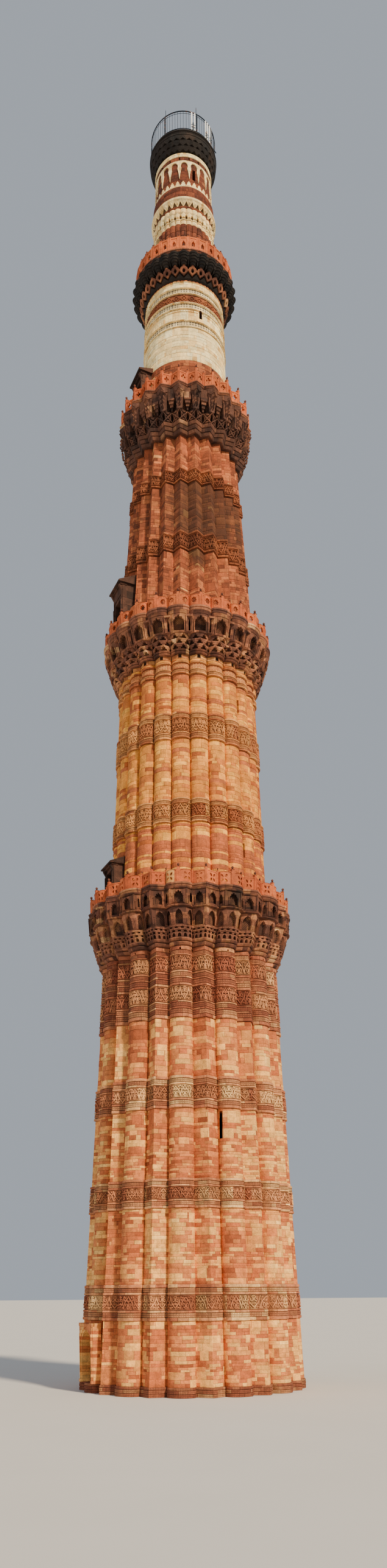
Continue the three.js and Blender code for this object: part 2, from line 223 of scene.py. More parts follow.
class Outline:
    """Bays side by side round the axis, each from valley to valley.

    A bay is a row of (turn, bulge): turn goes from -1 to 1 across it, and bulge is 1 at the crown.
    A share goes from 0 to 1 along the bay's own surface.
    """

    def __init__(self, bays, count, first, depth):
        self.count = count
        self.first = first
        self.depth = depth
        self.pitch = 360 / count
        self.bays = bays
        self.runs = [self.measure(bay) for bay in bays]

    def measure(self, bay):
        run = [0.0]
        for (turn_0, bulge_0), (turn_1, bulge_1) in zip(bay, bay[1:]):
            across = (turn_1 - turn_0) * math.radians(self.pitch / 2)
            run.append(run[-1] + math.hypot(across, (bulge_1 - bulge_0) * self.depth))
        return run

    def length(self, bay):
        return self.runs[bay % len(self.runs)][-1]

    def at(self, bay, share):
        shape = self.bays[bay % len(self.bays)]
        run = self.runs[bay % len(self.runs)]
        gone = share * run[-1]
        i = step_of(run, gone)
        part = (gone - run[i]) / (run[i + 1] - run[i])
        turn = shape[i][0] + part * (shape[i + 1][0] - shape[i][0])
        bulge = shape[i][1] + part * (shape[i + 1][1] - shape[i][1])
        return self.first + (bay + turn / 2) * self.pitch, bulge

    def bay_of(self, azimuth):
        return round((azimuth - self.first) / self.pitch)

    def share_of(self, bay, azimuth):
        shape = self.bays[bay % len(self.bays)]
        run = self.runs[bay % len(self.runs)]
        turn = min(max(2 * ((azimuth - self.first) / self.pitch - bay), -1.0), 1.0)
        i = step_of([mark for mark, _ in shape], turn)
        part = (turn - shape[i][0]) / (shape[i + 1][0] - shape[i][0])
        return (run[i] + part * (run[i + 1] - run[i])) / run[-1]

    def ring(self):
        return [
            (self.first + (bay + turn / 2) * self.pitch, bulge)
            for bay in range(self.count)
            for turn, bulge in self.bays[bay % len(self.bays)][:-1]
        ]


class Skin:
    """A face that goes round the tower: an outline with a radius at each height, in metres."""

    def __init__(self, outline, levels, depth=None):
        self.outline = outline
        self.levels = levels
        self.depth = outline.depth if depth is None else depth

    def radius(self, z):
        i = step_of([level for level, _ in self.levels], z)
        (z_0, radius_0), (z_1, radius_1) = self.levels[i:i + 2]
        return radius_0 + (radius_1 - radius_0) * (z - z_0) / (z_1 - z_0)

    def reach(self, bulge, z):
        return self.radius(z) * (1 - self.depth * (1 - bulge))

    def at(self, bay, share, z, lift=0.0):
        """A place on the skin. A share under 0 or over 1 runs on into the next bay."""
        if share < 0:
            share = 1 + share * self.outline.length(bay) / self.outline.length(bay - 1)
            bay -= 1
        elif share > 1:
            share = (share - 1) * self.outline.length(bay) / self.outline.length(bay + 1)
            bay += 1
        azimuth, bulge = self.outline.at(bay, share)
        return spot(azimuth, self.reach(bulge, z) + lift, z)


def round_flute(steps):
    angles = [math.pi * i / steps for i in range(steps + 1)]
    return [(-math.cos(angle), math.sin(angle)) for angle in angles]


WEDGE = [(-1, 0), (-0.5, 0.5), (0, 1), (0.5, 0.5), (1, 0)]
FIRST_CROWN = -5.5
mixed_outline = Outline([round_flute(12), WEDGE], 24, FIRST_CROWN, 0.1)
PLINTH_TOP = 0.3
STOREY_1_TOP = 12.925
storey_1 = Skin(mixed_outline, [(PLINTH_TOP, 3.55), (STOREY_1_TOP, 2.64)])
STOREY_1_BORE = 1.65
COURSE_HEIGHT = 0.19


def of_kind(items, kind):
    """The vertices, edges or faces among what an operator gives back."""
    return [item for item in items if isinstance(item, kind)]


def thicken(bm, faces):
    """Extrudes faces, and gives the corners of the new ones."""
    return of_kind(bmesh.ops.extrude_face_region(bm, geom=faces)["geom"], BMVert)


def sweep(skin, steps, bore):
    """A ring of stone: (z, lift) steps up its outside, and a round bore."""
    bm = bmesh.new()
    turn_layer = bm.verts.layers.float.new("turn")
    bulge_layer = bm.verts.layers.float.new("bulge")
    raised_layer = bm.verts.layers.float.new("raised")
    ring = skin.outline.ring()
    verts = bmesh.ops.create_circle(bm, segments=len(ring), radius=1)["verts"]
    edges = list(bm.edges)
    for vert, (azimuth, bulge) in zip(verts, ring):
        vert[turn_layer] = azimuth
        vert[bulge_layer] = bulge

    def settle(verts, z, lift, inside=False):
        for vert in verts:
            radius = bore if inside else skin.reach(vert[bulge_layer], z) + lift
            vert.co = spot(vert[turn_layer], radius, z)
            vert[raised_layer] = 0.0 if inside else lift

    settle(verts, *steps[0])
    for step in steps[1:] + [(steps[-1][0], 0, True), (steps[0][0], 0, True), steps[0]]:
        grown = bmesh.ops.extrude_edge_only(bm, edges=edges)["geom"]
        verts = of_kind(grown, BMVert)
        fresh = set(verts)
        edges = [edge for edge in of_kind(grown, BMEdge) if fresh.issuperset(edge.verts)]
        settle(verts, *step)
    bmesh.ops.remove_doubles(bm, verts=bm.verts, dist=0.0002)
    return bm


def coursed(low, high, height, seed, joint=0.008, sink=0.004):
    """Steps up a wall in courses of uneven height, each set off by a fine sunk joint."""
    dice = random.Random(seed)
    tops = [low]
    while tops[-1] < high - 0.5 * height:
        tops.append(tops[-1] + height * dice.choice((0.7, 0.85, 1.0, 1.2, 1.45)))
    stretch = (high - low) / (tops[-1] - low)
    tops = [low + (top - low) * stretch for top in tops]
    steps = [(low, -sink)]
    for below, above in zip(tops, tops[1:]):
        proud = dice.uniform(-0.003, 0.004)
        steps += [(below + joint, proud), (above - joint, proud), (above, -sink)]
    return steps, tops


BAY_SPACING = 20


def lay_courses(bm, skin, tops, first_row):
    """Writes the UV map: metres along the bay from left to right, and course numbers upwards. Each bay
    starts a bay's spacing after the last, so that a finish can tell them apart."""
    uv = bm.loops.layers.uv.new("laid")
    outline = skin.outline
    scale = skin.radius((tops[0] + tops[-1]) / 2)
    for face in bm.faces:
        middle = face.calc_center_median()
        centre = math.degrees(math.atan2(middle.x, -middle.y))
        bay = outline.bay_of(centre)
        length = outline.length(bay) * scale
        for loop in face.loops:
            place = loop.vert.co
            azimuth = math.degrees(math.atan2(place.x, -place.y))
            azimuth += 360 * round((centre - azimuth) / 360)
            share = outline.share_of(bay, azimuth)
            depth = skin.reach(outline.at(bay, share)[1], place.z) - math.hypot(place.x, place.y)
            i = step_of(tops, place.z)
            row = first_row + i + (place.z - tops[i]) / (tops[i + 1] - tops[i])
            along = share * length + max(depth - 0.03, 0)
            loop[uv].uv = (bay % outline.count * BAY_SPACING + along, row)


def cutaway(bm, cutters):
    """Cuts closed shapes out of a piece."""
    body = as_object("body", bm)
    for cutter in cutters:
        tool = as_object("cutter", cutter)
        modifier = body.modifiers.new("cut", "BOOLEAN")
        modifier.operation = "DIFFERENCE"
        modifier.solver = "EXACT"
        modifier.object = tool
    shaped = body.evaluated_get(bpy.context.evaluated_depsgraph_get()).to_mesh()
    result = bmesh.new()
    result.from_mesh(shaped)
    for old in [modifier.object for modifier in body.modifiers] + [body]:
        bpy.data.objects.remove(old)
    return result


def as_object(name, bm):
    bmesh.ops.recalc_face_normals(bm, faces=bm.faces)
    mesh = bpy.data.meshes.new(name)
    bm.to_mesh(mesh)
    bm.free()
    piece = bpy.data.objects.new(name, mesh)
    bpy.context.collection.objects.link(piece)
    return piece


def as_template(bm):
    mesh = bpy.data.meshes.new("template")
    bm.to_mesh(mesh)
    bm.free()
    return mesh


def join(bm, trim):
    bm.from_mesh(as_template(trim))


def set_stone(name, bm, finishes, slot, *nodes, crease=32):
    """Makes a finished piece of a mesh and sets it on the tower in the place of its CAD nodes."""
    piece = as_object(name, bm)
    for face in piece.data.polygons:
        face.use_smooth = True
    piece.data.set_sharp_from_angle(angle=math.radians(crease))
    for finish in finishes:
        piece.data.materials.append(finish.material)
    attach(piece, "root")
    if nodes:
        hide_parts(*nodes)


def stone_ring(name, skin, steps, tops, bore, finish, slot, row, *nodes, cutters=(), trim=None, other=None):
    """A ring of stone with its openings cut and its trim laid on. Other gives a second finish, and the test
    of height and radius that its faces pass."""
    bm = sweep(skin, steps, bore)
    if cutters:
        bm = cutaway(bm, cutters)
    if trim:
        join(bm, trim)
    lay_courses(bm, skin, tops, row)
    finishes = [finish]
    if other:
        second, passes = other
        finishes.append(second)
        for face in bm.faces:
            centre = face.calc_center_median()
            face.material_index = int(passes(centre.z, centre.xy.length))
    set_stone(name, bm, finishes, slot, *nodes)


def wall_ring(name, skin, low, high, height, seed, bore, finish, slot, row, cutters, *nodes):
    """A stretch of plain wall in courses of about one height, with its openings cut."""
    steps, tops = coursed(low, high, height, seed)
    stone_ring(name, skin, steps, tops, bore, finish, slot, row, *nodes, cutters=cutters)


def doorway_cutter(azimuth, width, height, rise, sill, near, far):
    """An opening through a wall, pointed at the top where it rises."""
    half = width / 2
    points = [(-half, 0), (half, 0), (half, height - rise)]
    if rise:
        points += [(half * 0.8, height - rise * 0.55), (half * 0.42, height - rise * 0.2), (0, height)]
        points += [(-half * 0.42, height - rise * 0.2), (-half * 0.8, height - rise * 0.55)]
    points.append((-half, height - rise))
    bm = bmesh.new()
    face = bm.faces.new([bm.verts.new((x, 0, z)) for x, z in points])
    bmesh.ops.translate(bm, verts=thicken(bm, [face]), vec=(0, -(far - near), 0))
    bmesh.ops.translate(bm, verts=bm.verts, vec=(0, -near, sill))
    bmesh.ops.rotate(bm, verts=bm.verts, matrix=Matrix.Rotation(math.radians(azimuth), 3, "Z"))
    return bm


def masonry(name, blocks, ground, course=None, block=0.34, joint=0.3, stains=0.3, bias=0.35, pattern=None,
            carved=None, backs=None, patch=None, rows=1, fade=0.85, crest=None):
    """Blocks in rows, each in one colour of the list. Some span two rows, and some rows are all of one
    tint. A pattern has its ground in the darker colour: in a carved diaper this is painted shade in the
    sunk ground, and in an inlay it is the inlay's own colour. On a carved face the sunk ground is painted
    darker as its shade, the lower the relief the darker, and the backs of deep niches can have a pattern
    of their own that stands lighter out of that painted shade. A patch is a broad stain of (x, z, breadth,
    height). A crest is the colour of every second course, where the balls of the posts are."""
    finish = Finish(name, roughness=0.9)
    dark = (*ground, 1)
    laid = finish.add("UVMap", {"uv_map": "laid"}, {})
    u = finish.axis(laid, 0)
    v = finish.axis(laid, 1) * rows
    bay = (u / BAY_SPACING).floor()

    def bond(rows, width):
        row = (v / rows).floor()
        length = width * (0.6 + 0.9 * finish.chance(row, 3.7))
        along = u / length + finish.chance(row, 8.1)
        return along, length, finish.chance(along.floor(), row, 1.3 + rows)

    along, length, pick = bond(1.0, block)
    tall_along, tall_length, tall_pick = bond(2.0, block * 1.2)
    tall = (tall_pick * 7.3).fraction() > 0.68
    pick = tall * tall_pick + (1 - tall) * pick
    flute = finish.chance(bay, (v / (11 * rows)).floor(), 6.2)
    colour = finish.ramp(pick * (1 - bias) + flute * bias, *blocks, steps="CONSTANT")
    if course:
        share, tint = course
        whole = finish.chance(v.floor(), 5.5, bay) * 0.3 + finish.chance(v.floor(), 5.5) * 0.7
        colour = finish.mix(whole > 1 - share, colour, (*tint, 1))
    grain = finish.rise(finish.noise(7.0, 5.0), 0.33, 0.67)
    mottle = finish.rise(finish.noise(26.0, 4.0), 0.35, 0.65)
    shade = (0.84 + 0.3 * (pick * 13.7).fraction()) * (0.8 + 0.38 * grain) * (0.85 + 0.28 * mottle)
    grey = finish.add("CombineColor", {}, {0: shade, 1: shade, 2: shade})
    colour = finish.mix(1.0, colour, grey, "MULTIPLY")
    streak = finish.noise(1.0, 4.0, stretch=(2.4, 2.4, 0.22))
    dirt = finish.rise(streak * 0.6 + finish.noise(0.5, 5.0) * 0.4, 0.47, 0.66) * stains
    drips = finish.rise(finish.noise(1.0, 3.0, stretch=(11.0, 11.0, 0.7)), 0.54, 0.7) * stains * 0.7
    pits = finish.rise(finish.noise(48.0, 2.0), 0.62, 0.7) * 0.45
    blots = finish.rise(finish.noise(5.0, 5.0), 0.5, 0.66) * stains * 0.8
    for layer in (drips, pits, blots):
        dirt = dirt.maths("MAXIMUM", dirt, layer)
    if patch:
        patch_x, patch_z, breadth, tall_reach = patch
        place = finish.object_place()
        off_x = (finish.axis(place, 0) - patch_x) / breadth
        off_z = (finish.axis(place, 2) - patch_z) / tall_reach
        front = finish.rise(0.2 - finish.axis(place, 1), 0.0, 0.5)
        far = off_x * off_x + off_z * off_z + finish.noise(1.6, 5.0, stretch=(1.6, 1.6, 0.4)) * 1.6
        dirt = dirt.maths("MAXIMUM", dirt, finish.rise(2.4 - far, 0.0, 1.3) * front * 0.84)
    colour = finish.mix(dirt, colour, dark)
    side = abs(along.fraction() - 0.5) * length
    tall_side = abs(tall_along.fraction() - 0.5) * tall_length
    seam = (1 - tall) * finish.rise(side - length * 0.5, -0.009, -0.003)
    seam = seam.maths("MAXIMUM", seam, tall * finish.rise(tall_side - tall_length * 0.5, -0.009, -0.003))
    bed = (1 - tall) * finish.rise(abs(v.fraction() - 0.5), 0.45, 0.49)
    gap = seam.maths("MAXIMUM", seam, bed)
    gap = gap * (0.25 if carved else 1.0)
    colour = finish.mix(gap * joint * (0.4 + 1.1 * mottle), colour, dark)
    height = grain * 0.5 + mottle * 0.3 - gap + 0.4 * pick
    # Where the pattern is a carved diaper, its darker ground is painted shade in the sunk ground; in an
    # inlay it is the inlay's colour.
    if pattern:
        face = pattern(u, v)
        colour = finish.mix((1 - face) * fade, colour, dark)
        height = height + face * 1.6
    # Painted shade: the lower the relief, the nearer the colour goes to the dark ground, and the nets on
    # niche backs stand lighter out of it.
    if carved:
        low, high = carved
        raised = finish.add("Attribute", {"attribute_name": "raised"}, {}, "Fac")
        recess_shade = 1 - finish.rise(raised, low, high)
        if backs:
            face = backs(u, v) * recess_shade
            recess_shade = recess_shade * (0.86 - face * 0.66)
            height = height + face * 1.6
        colour = finish.mix(recess_shade * 0.93, colour, dark)
    if crest:
        colour = finish.mix((v * 0.5).fraction() > 0.5, colour, (*crest, 1))
    finish.paint(colour)
    finish.bump(height, 0.007)
    return finish


BLOCKS_1 = [
    (0.0, (0.4, 0.097, 0.032)), (0.1, (0.54, 0.145, 0.047)), (0.32, (0.67, 0.218, 0.068)),
    (0.5, (0.83, 0.349, 0.098)), (0.64, (0.95, 0.485, 0.136)), (0.84, (1.0, 0.582, 0.183)),
]
mixed_stone = masonry("mixed_stone_finish", BLOCKS_1, (0.12, 0.05, 0.03), block=0.36, joint=0.35,
                      stains=0.25, rows=2)

DOOR_AZIMUTH = -65.5
ENTRANCE = (0.9, 1.62, 0.42)
SLIT_WIDTH = 0.09
storey_1_walls = [
    ("storey_1_wall_1", PLINTH_TOP, 2.2),
    ("storey_1_wall_2", 3.265, 5.45),
    ("storey_1_wall_3", 6.31, 8.31),
    ("storey_1_wall_4", 9.235, 10.89),
]
for seed, (name, low, high) in enumerate(storey_1_walls):
    cutters = []
    if name == "storey_1_wall_1":
        cutters = [doorway_cutter(DOOR_AZIMUTH, *ENTRANCE, PLINTH_TOP, 1.0, 3.9)]
    if name == "storey_1_wall_3":
        cutters = [doorway_cutter(azimuth, SLIT_WIDTH, 0.8, 0, 7.45, 0.9, 3.5) for azimuth in (0, 180)]
        for cutter, side in zip(cutters, (0.88, -0.88)):
            bmesh.ops.translate(cutter, verts=cutter.verts, vec=(side, 0, 0))
    wall_ring(name + "_blocks", storey_1, low, high, COURSE_HEIGHT, seed, STOREY_1_BORE, mixed_stone,
              "mixed_stone", seed * 100, cutters, name)


# Storey 1, carved bands and plinth: rings of red sandstone that stand out from the wall. Rounded mouldings
# and fine diaper friezes lie above and below a broad strip of scrolling leaves cut deep into the stone.
def diamonds(size):
    def pattern(u, v):
        across = abs((u / size).fraction() - 0.5)
        return (across + abs((v * 2).fraction() - 0.5)) < 0.36
    return pattern


STRIP_DEPTH = 0.035


def banded(low, rows, lift=0.05):
    """Steps up a band of (height, kind) rows, and where each row ends. Heights are shares of the band."""
    steps = [(low, 0.0)]
    tops = [low]
    z = low
    for height, kind in rows:
        above = z + height
        if kind == "strip":
            steps += [(z + 0.004, lift - STRIP_DEPTH), (above - 0.004, lift - STRIP_DEPTH)]
        elif kind == "frieze":
            steps += [(z + 0.008, lift - 0.012), (above - 0.008, lift - 0.012)]
        elif kind == "roll":
            sixth = height / 6
            steps += [(z + 0.004, lift - 0.02), (z + sixth, lift)]
            steps += [(above - sixth, lift), (above - 0.004, lift - 0.02)]
        elif kind == "block":
            steps += [(z + 0.006, lift - 0.004), (above - 0.006, lift - 0.004)]
        steps.append((above, lift - 0.045))
        z = above
        tops.append(z)
    return steps, tops


def fitted(low, high, rows):
    """Rows stretched to fill a band from its foot to its top."""
    whole = sum(height for height, _ in rows)
    return [(height * (high - low) / whole, kind) for height, kind in rows]


def ribbon(bm, path, breadth, height, base=-0.012):
    """A raised strand of stone along a path, with tapering ends."""
    edges = None
    faces = []
    for i, (x, y) in enumerate(path):
        before = path[max(i - 1, 0)]
        after = path[min(i + 1, len(path) - 1)]
        along = Vector((after[0] - before[0], after[1] - before[1])).normalized()
        end = 0.35 if i in (0, len(path) - 1) else 1.0
        side = Vector((-along.y, along.x)) * breadth * end / 2
        ends = [Vector((x + side.x, y + side.y, base)), Vector((x - side.x, y - side.y, base))]
        if edges is None:
            edges = [bm.edges.new([bm.verts.new(place) for place in ends])]
            tip = list(edges[0].verts)
        else:
            grown = bmesh.ops.extrude_edge_only(bm, edges=edges)["geom"]
            fresh = of_kind(grown, BMVert)
            edges = [edge for edge in of_kind(grown, BMEdge) if set(edge.verts) == set(fresh)]
            faces += of_kind(grown, BMFace)
            fresh.sort(key=lambda vert: (vert.co - tip[0].co).length - (vert.co - tip[1].co).length)
            tip = fresh
            for vert, place in zip(fresh, ends):
                vert.co = place
    bmesh.ops.translate(bm, verts=thicken(bm, faces), vec=(0, 0, height - base))


def leaf(bm, x, y, turn, length, breadth, height, base=-0.012):
    """A pointed leaf with a raised rib."""
    corners = bmesh.ops.create_circle(bm, cap_ends=True, segments=6, radius=0.5)["verts"]
    face = corners[0].link_faces[0]
    for vert in corners:
        share = abs(vert.co.y) * 2
        vert.co = (vert.co.x * breadth * (1.15 - 0.35 * share), vert.co.y * length, base)
    top = of_kind(bmesh.ops.extrude_face_region(bm, geom=[face])["geom"], BMFace)
    upper = list(top[0].verts)
    bmesh.ops.translate(bm, verts=upper, vec=(0, 0, height * 0.75 - base))
    centre = bmesh.ops.poke(bm, faces=top)["verts"]
    bmesh.ops.translate(bm, verts=centre, vec=(0, 0, height * 0.5))
    place = Matrix.Translation((x, y, 0)) @ Matrix.Rotation(turn, 4, "Z")
    bmesh.ops.transform(bm, matrix=place, verts=corners + upper + centre)


def new_trim():
    """An empty mesh for trim. Nothing is deleted from it, so it keeps its order."""
    trim = bmesh.new()
    trim.verts.layers.float.new("raised")
    return trim


def mirrored(points, width):
    return [(width - x, y) for x, y in points]


def scroll_panel(width, height, seed):
    """A carved panel, the same on both sides: a pointed arch of stems, a stalk with a bud, two curls and
    leaves that fill the ground."""
    dice = random.Random(seed)
    bm = new_trim()
    thick = min(0.028, height * 0.075)
    relief = 0.036
    peak = dice.uniform(0.86, 0.93)
    rise = [(0.0, 0.08), (0.05, 0.32), (0.17, 0.56), (0.36, 0.74), (0.5, peak)]
    rise = [(x * width, y * height) for x, y in rise]
    ribbon(bm, rise + mirrored(rise[:-1], width)[::-1], thick, relief)
    bud = dice.uniform(0.5, 0.6)
    ribbon(bm, [(width / 2, height * 0.08), (width / 2, height * bud * 0.5), (width / 2, height * bud)],
           thick * 0.8, relief * 0.86)
    leaf(bm, width / 2, height * (bud + 0.06), 0, height * 0.2, thick * 1.5, relief)
    centre_x = width * 0.3
    centre_y = height * dice.uniform(0.28, 0.36)
    curl = []
    for i in range(9):
        part = i / 8
        turn = -0.5 * math.pi + part * math.pi * 2.1
        curl.append((
            centre_x + width * 0.17 * (1 - 0.75 * part) * math.cos(turn),
            centre_y + height * 0.18 * (1 - 0.75 * part) * math.sin(turn),
        ))
    for path in (curl, mirrored(curl, width)):
        ribbon(bm, path, thick * 0.8, relief * 0.93)
    places = [(0.36, 0.62, 0.5), (0.1, 0.66, 0.1), (0.2, 0.84, -0.6), (0.06, 0.88, 0.3), (0.4, 0.12, 0.9)]
    for x, y, turn in places:
        turn += dice.uniform(-0.3, 0.3)
        leaf(bm, width * x, height * y, turn, height * 0.19, thick * 1.25, relief)
        leaf(bm, width * (1 - x), height * y, -turn, height * 0.19, thick * 1.25, relief)
    for edge in (0.035, 0.965):
        ribbon(bm, [(0, height * edge), (width / 2, height * edge), (width, height * edge)], thick * 0.5,
               relief)
    return as_template(bm)


def lay(trim, template, place):
    """Adds a copy of a template, with each of its corners put where place says."""
    known = len(trim.verts)
    trim.from_mesh(template)
    trim.verts.ensure_lookup_table()
    raised = trim.verts.layers.float["raised"]
    for vert in trim.verts[known:]:
        x, y, lift = vert.co
        vert[raised] = lift
        vert.co = place(x, y, lift)


def carve_strip(bm, skin, low, high, lift, panels_per_bay, seed):
    """Lays carved panels round a strip, some of them turned over so that none repeats at once."""
    dice = random.Random(seed)
    height = high - low
    outline = skin.outline
    radius = skin.radius(low)
    widths = [outline.length(kind) * radius / panels_per_bay[kind] for kind in range(len(outline.bays))]
    panels = [[scroll_panel(width, height, seed * 10 + k) for k in range(3)] for width in widths]
    trim = new_trim()
    for bay in range(outline.count):
        kind = bay % len(widths)
        for n in range(panels_per_bay[kind]):
            flip_x = dice.random() < 0.5
            flip_y = dice.random() < 0.5

            def place(x, y, raised):
                share = (1 - x / widths[kind]) if flip_x else x / widths[kind]
                z = high - y if flip_y else low + y
                return skin.at(bay, (n + share) / panels_per_bay[kind], z, lift + raised)

            lay(trim, dice.choice(panels[kind]), place)
    join(bm, trim)


def band_piece(name, skin, low, rows, bore, finishes, first_row, panels_per_bay, cutters=(), lift=0.05,
               trim=None):
    """A whole carved band, each row with the finish of its kind."""
    steps, tops = banded(low, rows, lift)
    bm = sweep(skin, steps, bore)
    if cutters:
        bm = cutaway(bm, cutters)
    for i, (_, kind) in enumerate(rows):
        if kind == "strip":
            foot = tops[i] + 0.01
            carve_strip(bm, skin, foot, tops[i + 1] - 0.01, lift - STRIP_DEPTH, panels_per_bay,
                        first_row + i)
    if trim:
        join(bm, trim)
    lay_courses(bm, skin, tops, first_row)
    kinds = list(finishes)
    for face in bm.faces:
        centre = face.calc_center_median()
        kind = rows[step_of(tops, centre.z)][1]
        # Faces well inside the skin, in the slits, take the inside finish, which is painted shade.
        if "inside" in kinds and centre.xy.length < skin.reach(0, centre.z) - 0.06:
            kind = "inside"
        face.material_index = kinds.index(kind) if kind in kinds else 0
    set_stone(name + "_carving", bm, finishes.values(), "carved_stone", name)


BAND_BLOCKS = [
    (0.0, (0.33, 0.095, 0.048)), (0.26, (0.44, 0.14, 0.067)), (0.5, (0.51, 0.19, 0.087)),
    (0.68, (0.62, 0.28, 0.12)), (0.86, (0.72, 0.38, 0.17)),
]
LIGHT_BAND_BLOCKS = [
    (0.0, (0.45, 0.145, 0.068)), (0.26, (0.56, 0.21, 0.092)), (0.5, (0.67, 0.3, 0.13)),
    (0.72, (0.8, 0.45, 0.19)), (0.88, (0.9, 0.56, 0.24)),
]
DARK_GROUND = (0.07, 0.022, 0.012)


def carved_finishes(name, blocks, ground, size, stains, relief):
    """The finishes of a band: its mouldings, its diaper friezes and its carved strips."""
    roll = masonry(name + "_moulding_finish", blocks, ground, block=0.5, joint=0.6, stains=stains + 0.1)
    # The friezes and the carved strips have their sunk ground painted darker, as its shade.
    frieze = masonry(name + "_frieze_finish", blocks, ground, block=0.5, stains=stains, fade=0.62,
                     pattern=diamonds(size))
    strip = masonry(name + "_carving_finish", blocks, ground, block=0.6, stains=stains, carved=relief)
    return {"roll": roll, "frieze": frieze, "strip": strip}


light_band = carved_finishes("light_band", LIGHT_BAND_BLOCKS, (0.09, 0.03, 0.016), 0.05, 0.35,
                             (0.004, 0.026))
dark_band = carved_finishes("dark_band", BAND_BLOCKS, DARK_GROUND, 0.05, 0.45, (0.004, 0.028))
LOW_BAND = [
    (0.1, "roll"), (0.13, "frieze"), (0.07, "roll"), (0.42, "strip"), (0.07, "roll"), (0.12, "frieze"),
    (0.1, "roll"),
]
TOP_BAND = [
    (0.115, "roll"), (0.14, "frieze"), (0.06, "roll"), (0.13, "frieze"), (0.05, "roll"), (0.46, "strip"),
    (0.08, "roll"), (0.14, "frieze"), (0.06, "roll"), (0.11, "frieze"), (0.07, "roll"), (0.45, "strip"),
    (0.04, "roll"), (0.1, "frieze"), (0.14, "roll"),
]
storey_1_bands = [
    ("storey_1_band_1", 2.2, 3.265, LOW_BAND, light_band),
    ("storey_1_band_2", 5.45, 6.31, LOW_BAND, light_band),
    ("storey_1_band_3", 8.31, 9.235, LOW_BAND, light_band),
    ("storey_1_band_4", 10.89, STOREY_1_TOP, TOP_BAND, dark_band),
]
for number, (name, low, high, rows, finishes) in enumerate(storey_1_bands):
    cutters = []
    if name == "storey_1_band_4":
        # Square holes for scaffold poles, on the crowns of the round flutes and in all the valleys.
        for k in range(48):
            if k % 4 == 2:
                continue
            near = storey_1.reach(0.0 if k % 2 else 1.0, 12.8) - 0.1
            cutters.append(doorway_cutter(FIRST_CROWN + k * 7.5, 0.05, 0.05, 0, 12.81, near, near + 0.4))
    rows = fitted(low, high, rows)
    band_piece(name, storey_1, low, rows, STOREY_1_BORE, finishes, 500 + 40 * number, [4, 3], cutters)

SOLID_BORE = 0.001
plinth_skin = Skin(mixed_outline, [(0.0, 3.6), (PLINTH_TOP, 3.6)], 0.09)
plinth_steps = [
    (0.0, 0.0), (0.1, 0.0), (0.105, -0.015), (0.12, -0.015), (0.125, 0.0), (0.21, 0.0), (0.215, -0.02),
    (0.23, -0.02), (0.235, -0.005), (0.28, -0.012), (PLINTH_TOP, -0.03),
]
stone_ring("plinth_courses", plinth_skin, plinth_steps, [0.0, 0.11, 0.22, PLINTH_TOP], SOLID_BORE,
           dark_band["frieze"], "mixed_stone", 0, "plinth")


# Balcony 1, corbel and arcade: small pointed cells over mouldings, two rows of hanging stones, tall niches
# with netted backs and an arcade of cusped arches. Each row stands further out than the one below.
def pointed(width, height, spring):
    """A pointed arch from its left foot to its right foot, on y = 0."""
    half = width / 2
    rise = height - spring
    left = [(-half, 0), (-half, spring), (-half * 0.86, spring + rise * 0.42),
            (-half * 0.5, spring + rise * 0.76)]
    return left + [(0, height)] + [(-x, y) for x, y in reversed(left)]


def cusped(width, height, spring, foils=5):
    """An arch on straight jambs whose edge is scalloped: small round lobes that meet in points."""
    half = width / 2
    rise = height - spring
    points = [(-half, 0), (-half, spring)]
    for k in range(1, 4 * foils):
        turn = math.pi * (1 - k / (4 * foils))
        reach = (0.78, 0.95, 1.0, 0.95)[k % 4]
        peak = 1 + 0.18 * (1 - abs(math.cos(turn))) ** 3
        points.append((half * reach * math.cos(turn), spring + rise * 0.86 * reach * peak * math.sin(turn)))
    return points + [(half, spring), (half, 0)]


def moved(points, x, y):
    return [(px + x, py + y) for px, py in points]


def plate(width, height, holes, depth, lift=0.0, edge=None):
    """A slab of stone with holes through it, its front at the lift and its back a depth behind."""
    bm = new_trim()
    corners = edge or [(-width / 2, 0), (width / 2, 0), (width / 2, height), (-width / 2, height)]
    edges = []
    for loop in [corners] + holes:
        verts = [bm.verts.new((x, y, lift)) for x, y in loop]
        edges += [bm.edges.new(pair) for pair in zip(verts, verts[1:] + verts[:1])]
    faces = bmesh.ops.triangle_fill(bm, use_beauty=True, edges=edges, normal=(0, 0, 1))["geom"]
    bmesh.ops.translate(bm, verts=thicken(bm, of_kind(faces, BMFace)), vec=(0, 0, -depth))
    return as_template(bm)


def fine_edge(width, height, parts=4):
    """The edge of a plate with extra corners along its foot and head, so that it follows a curve."""
    along = [(-0.5 + k / parts) * width for k in range(parts + 1)]
    return [(x, 0) for x in along] + [(x, height) for x in reversed(along)]


def block(x, y, width, height, depth, lift, foot=1.0, top=1.0):
    """A block that may narrow towards its foot or its top."""
    bm = new_trim()
    verts = bmesh.ops.create_cube(bm, size=1)["verts"]
    for vert in verts:
        taper = top if vert.co.y > 0 else foot
        front = vert.co.z > 0
        vert.co = (
            x + vert.co.x * width * taper,
            y + (vert.co.y + 0.5) * height,
            lift - depth + (depth * taper if front else 0),
        )
    return as_template(bm)


def add_box(bm, size, centre):
    verts = bmesh.ops.create_cube(bm, size=1)["verts"]
    bmesh.ops.scale(bm, verts=verts, vec=size)
    bmesh.ops.translate(bm, verts=verts, vec=centre)


def shafts(gap, height, size=0.02):
    """A pair of slim shafts with caps, one on each side of an opening."""
    bm = new_trim()
    for side in (-1, 1):
        for low, high, breadth in ((0, height, size), (height, height + 0.024, size * 1.7)):
            add_box(bm, (breadth, high - low, breadth),
                    (side * (gap / 2 + size * 0.9), (low + high) / 2, 0.024))
    return as_template(bm)


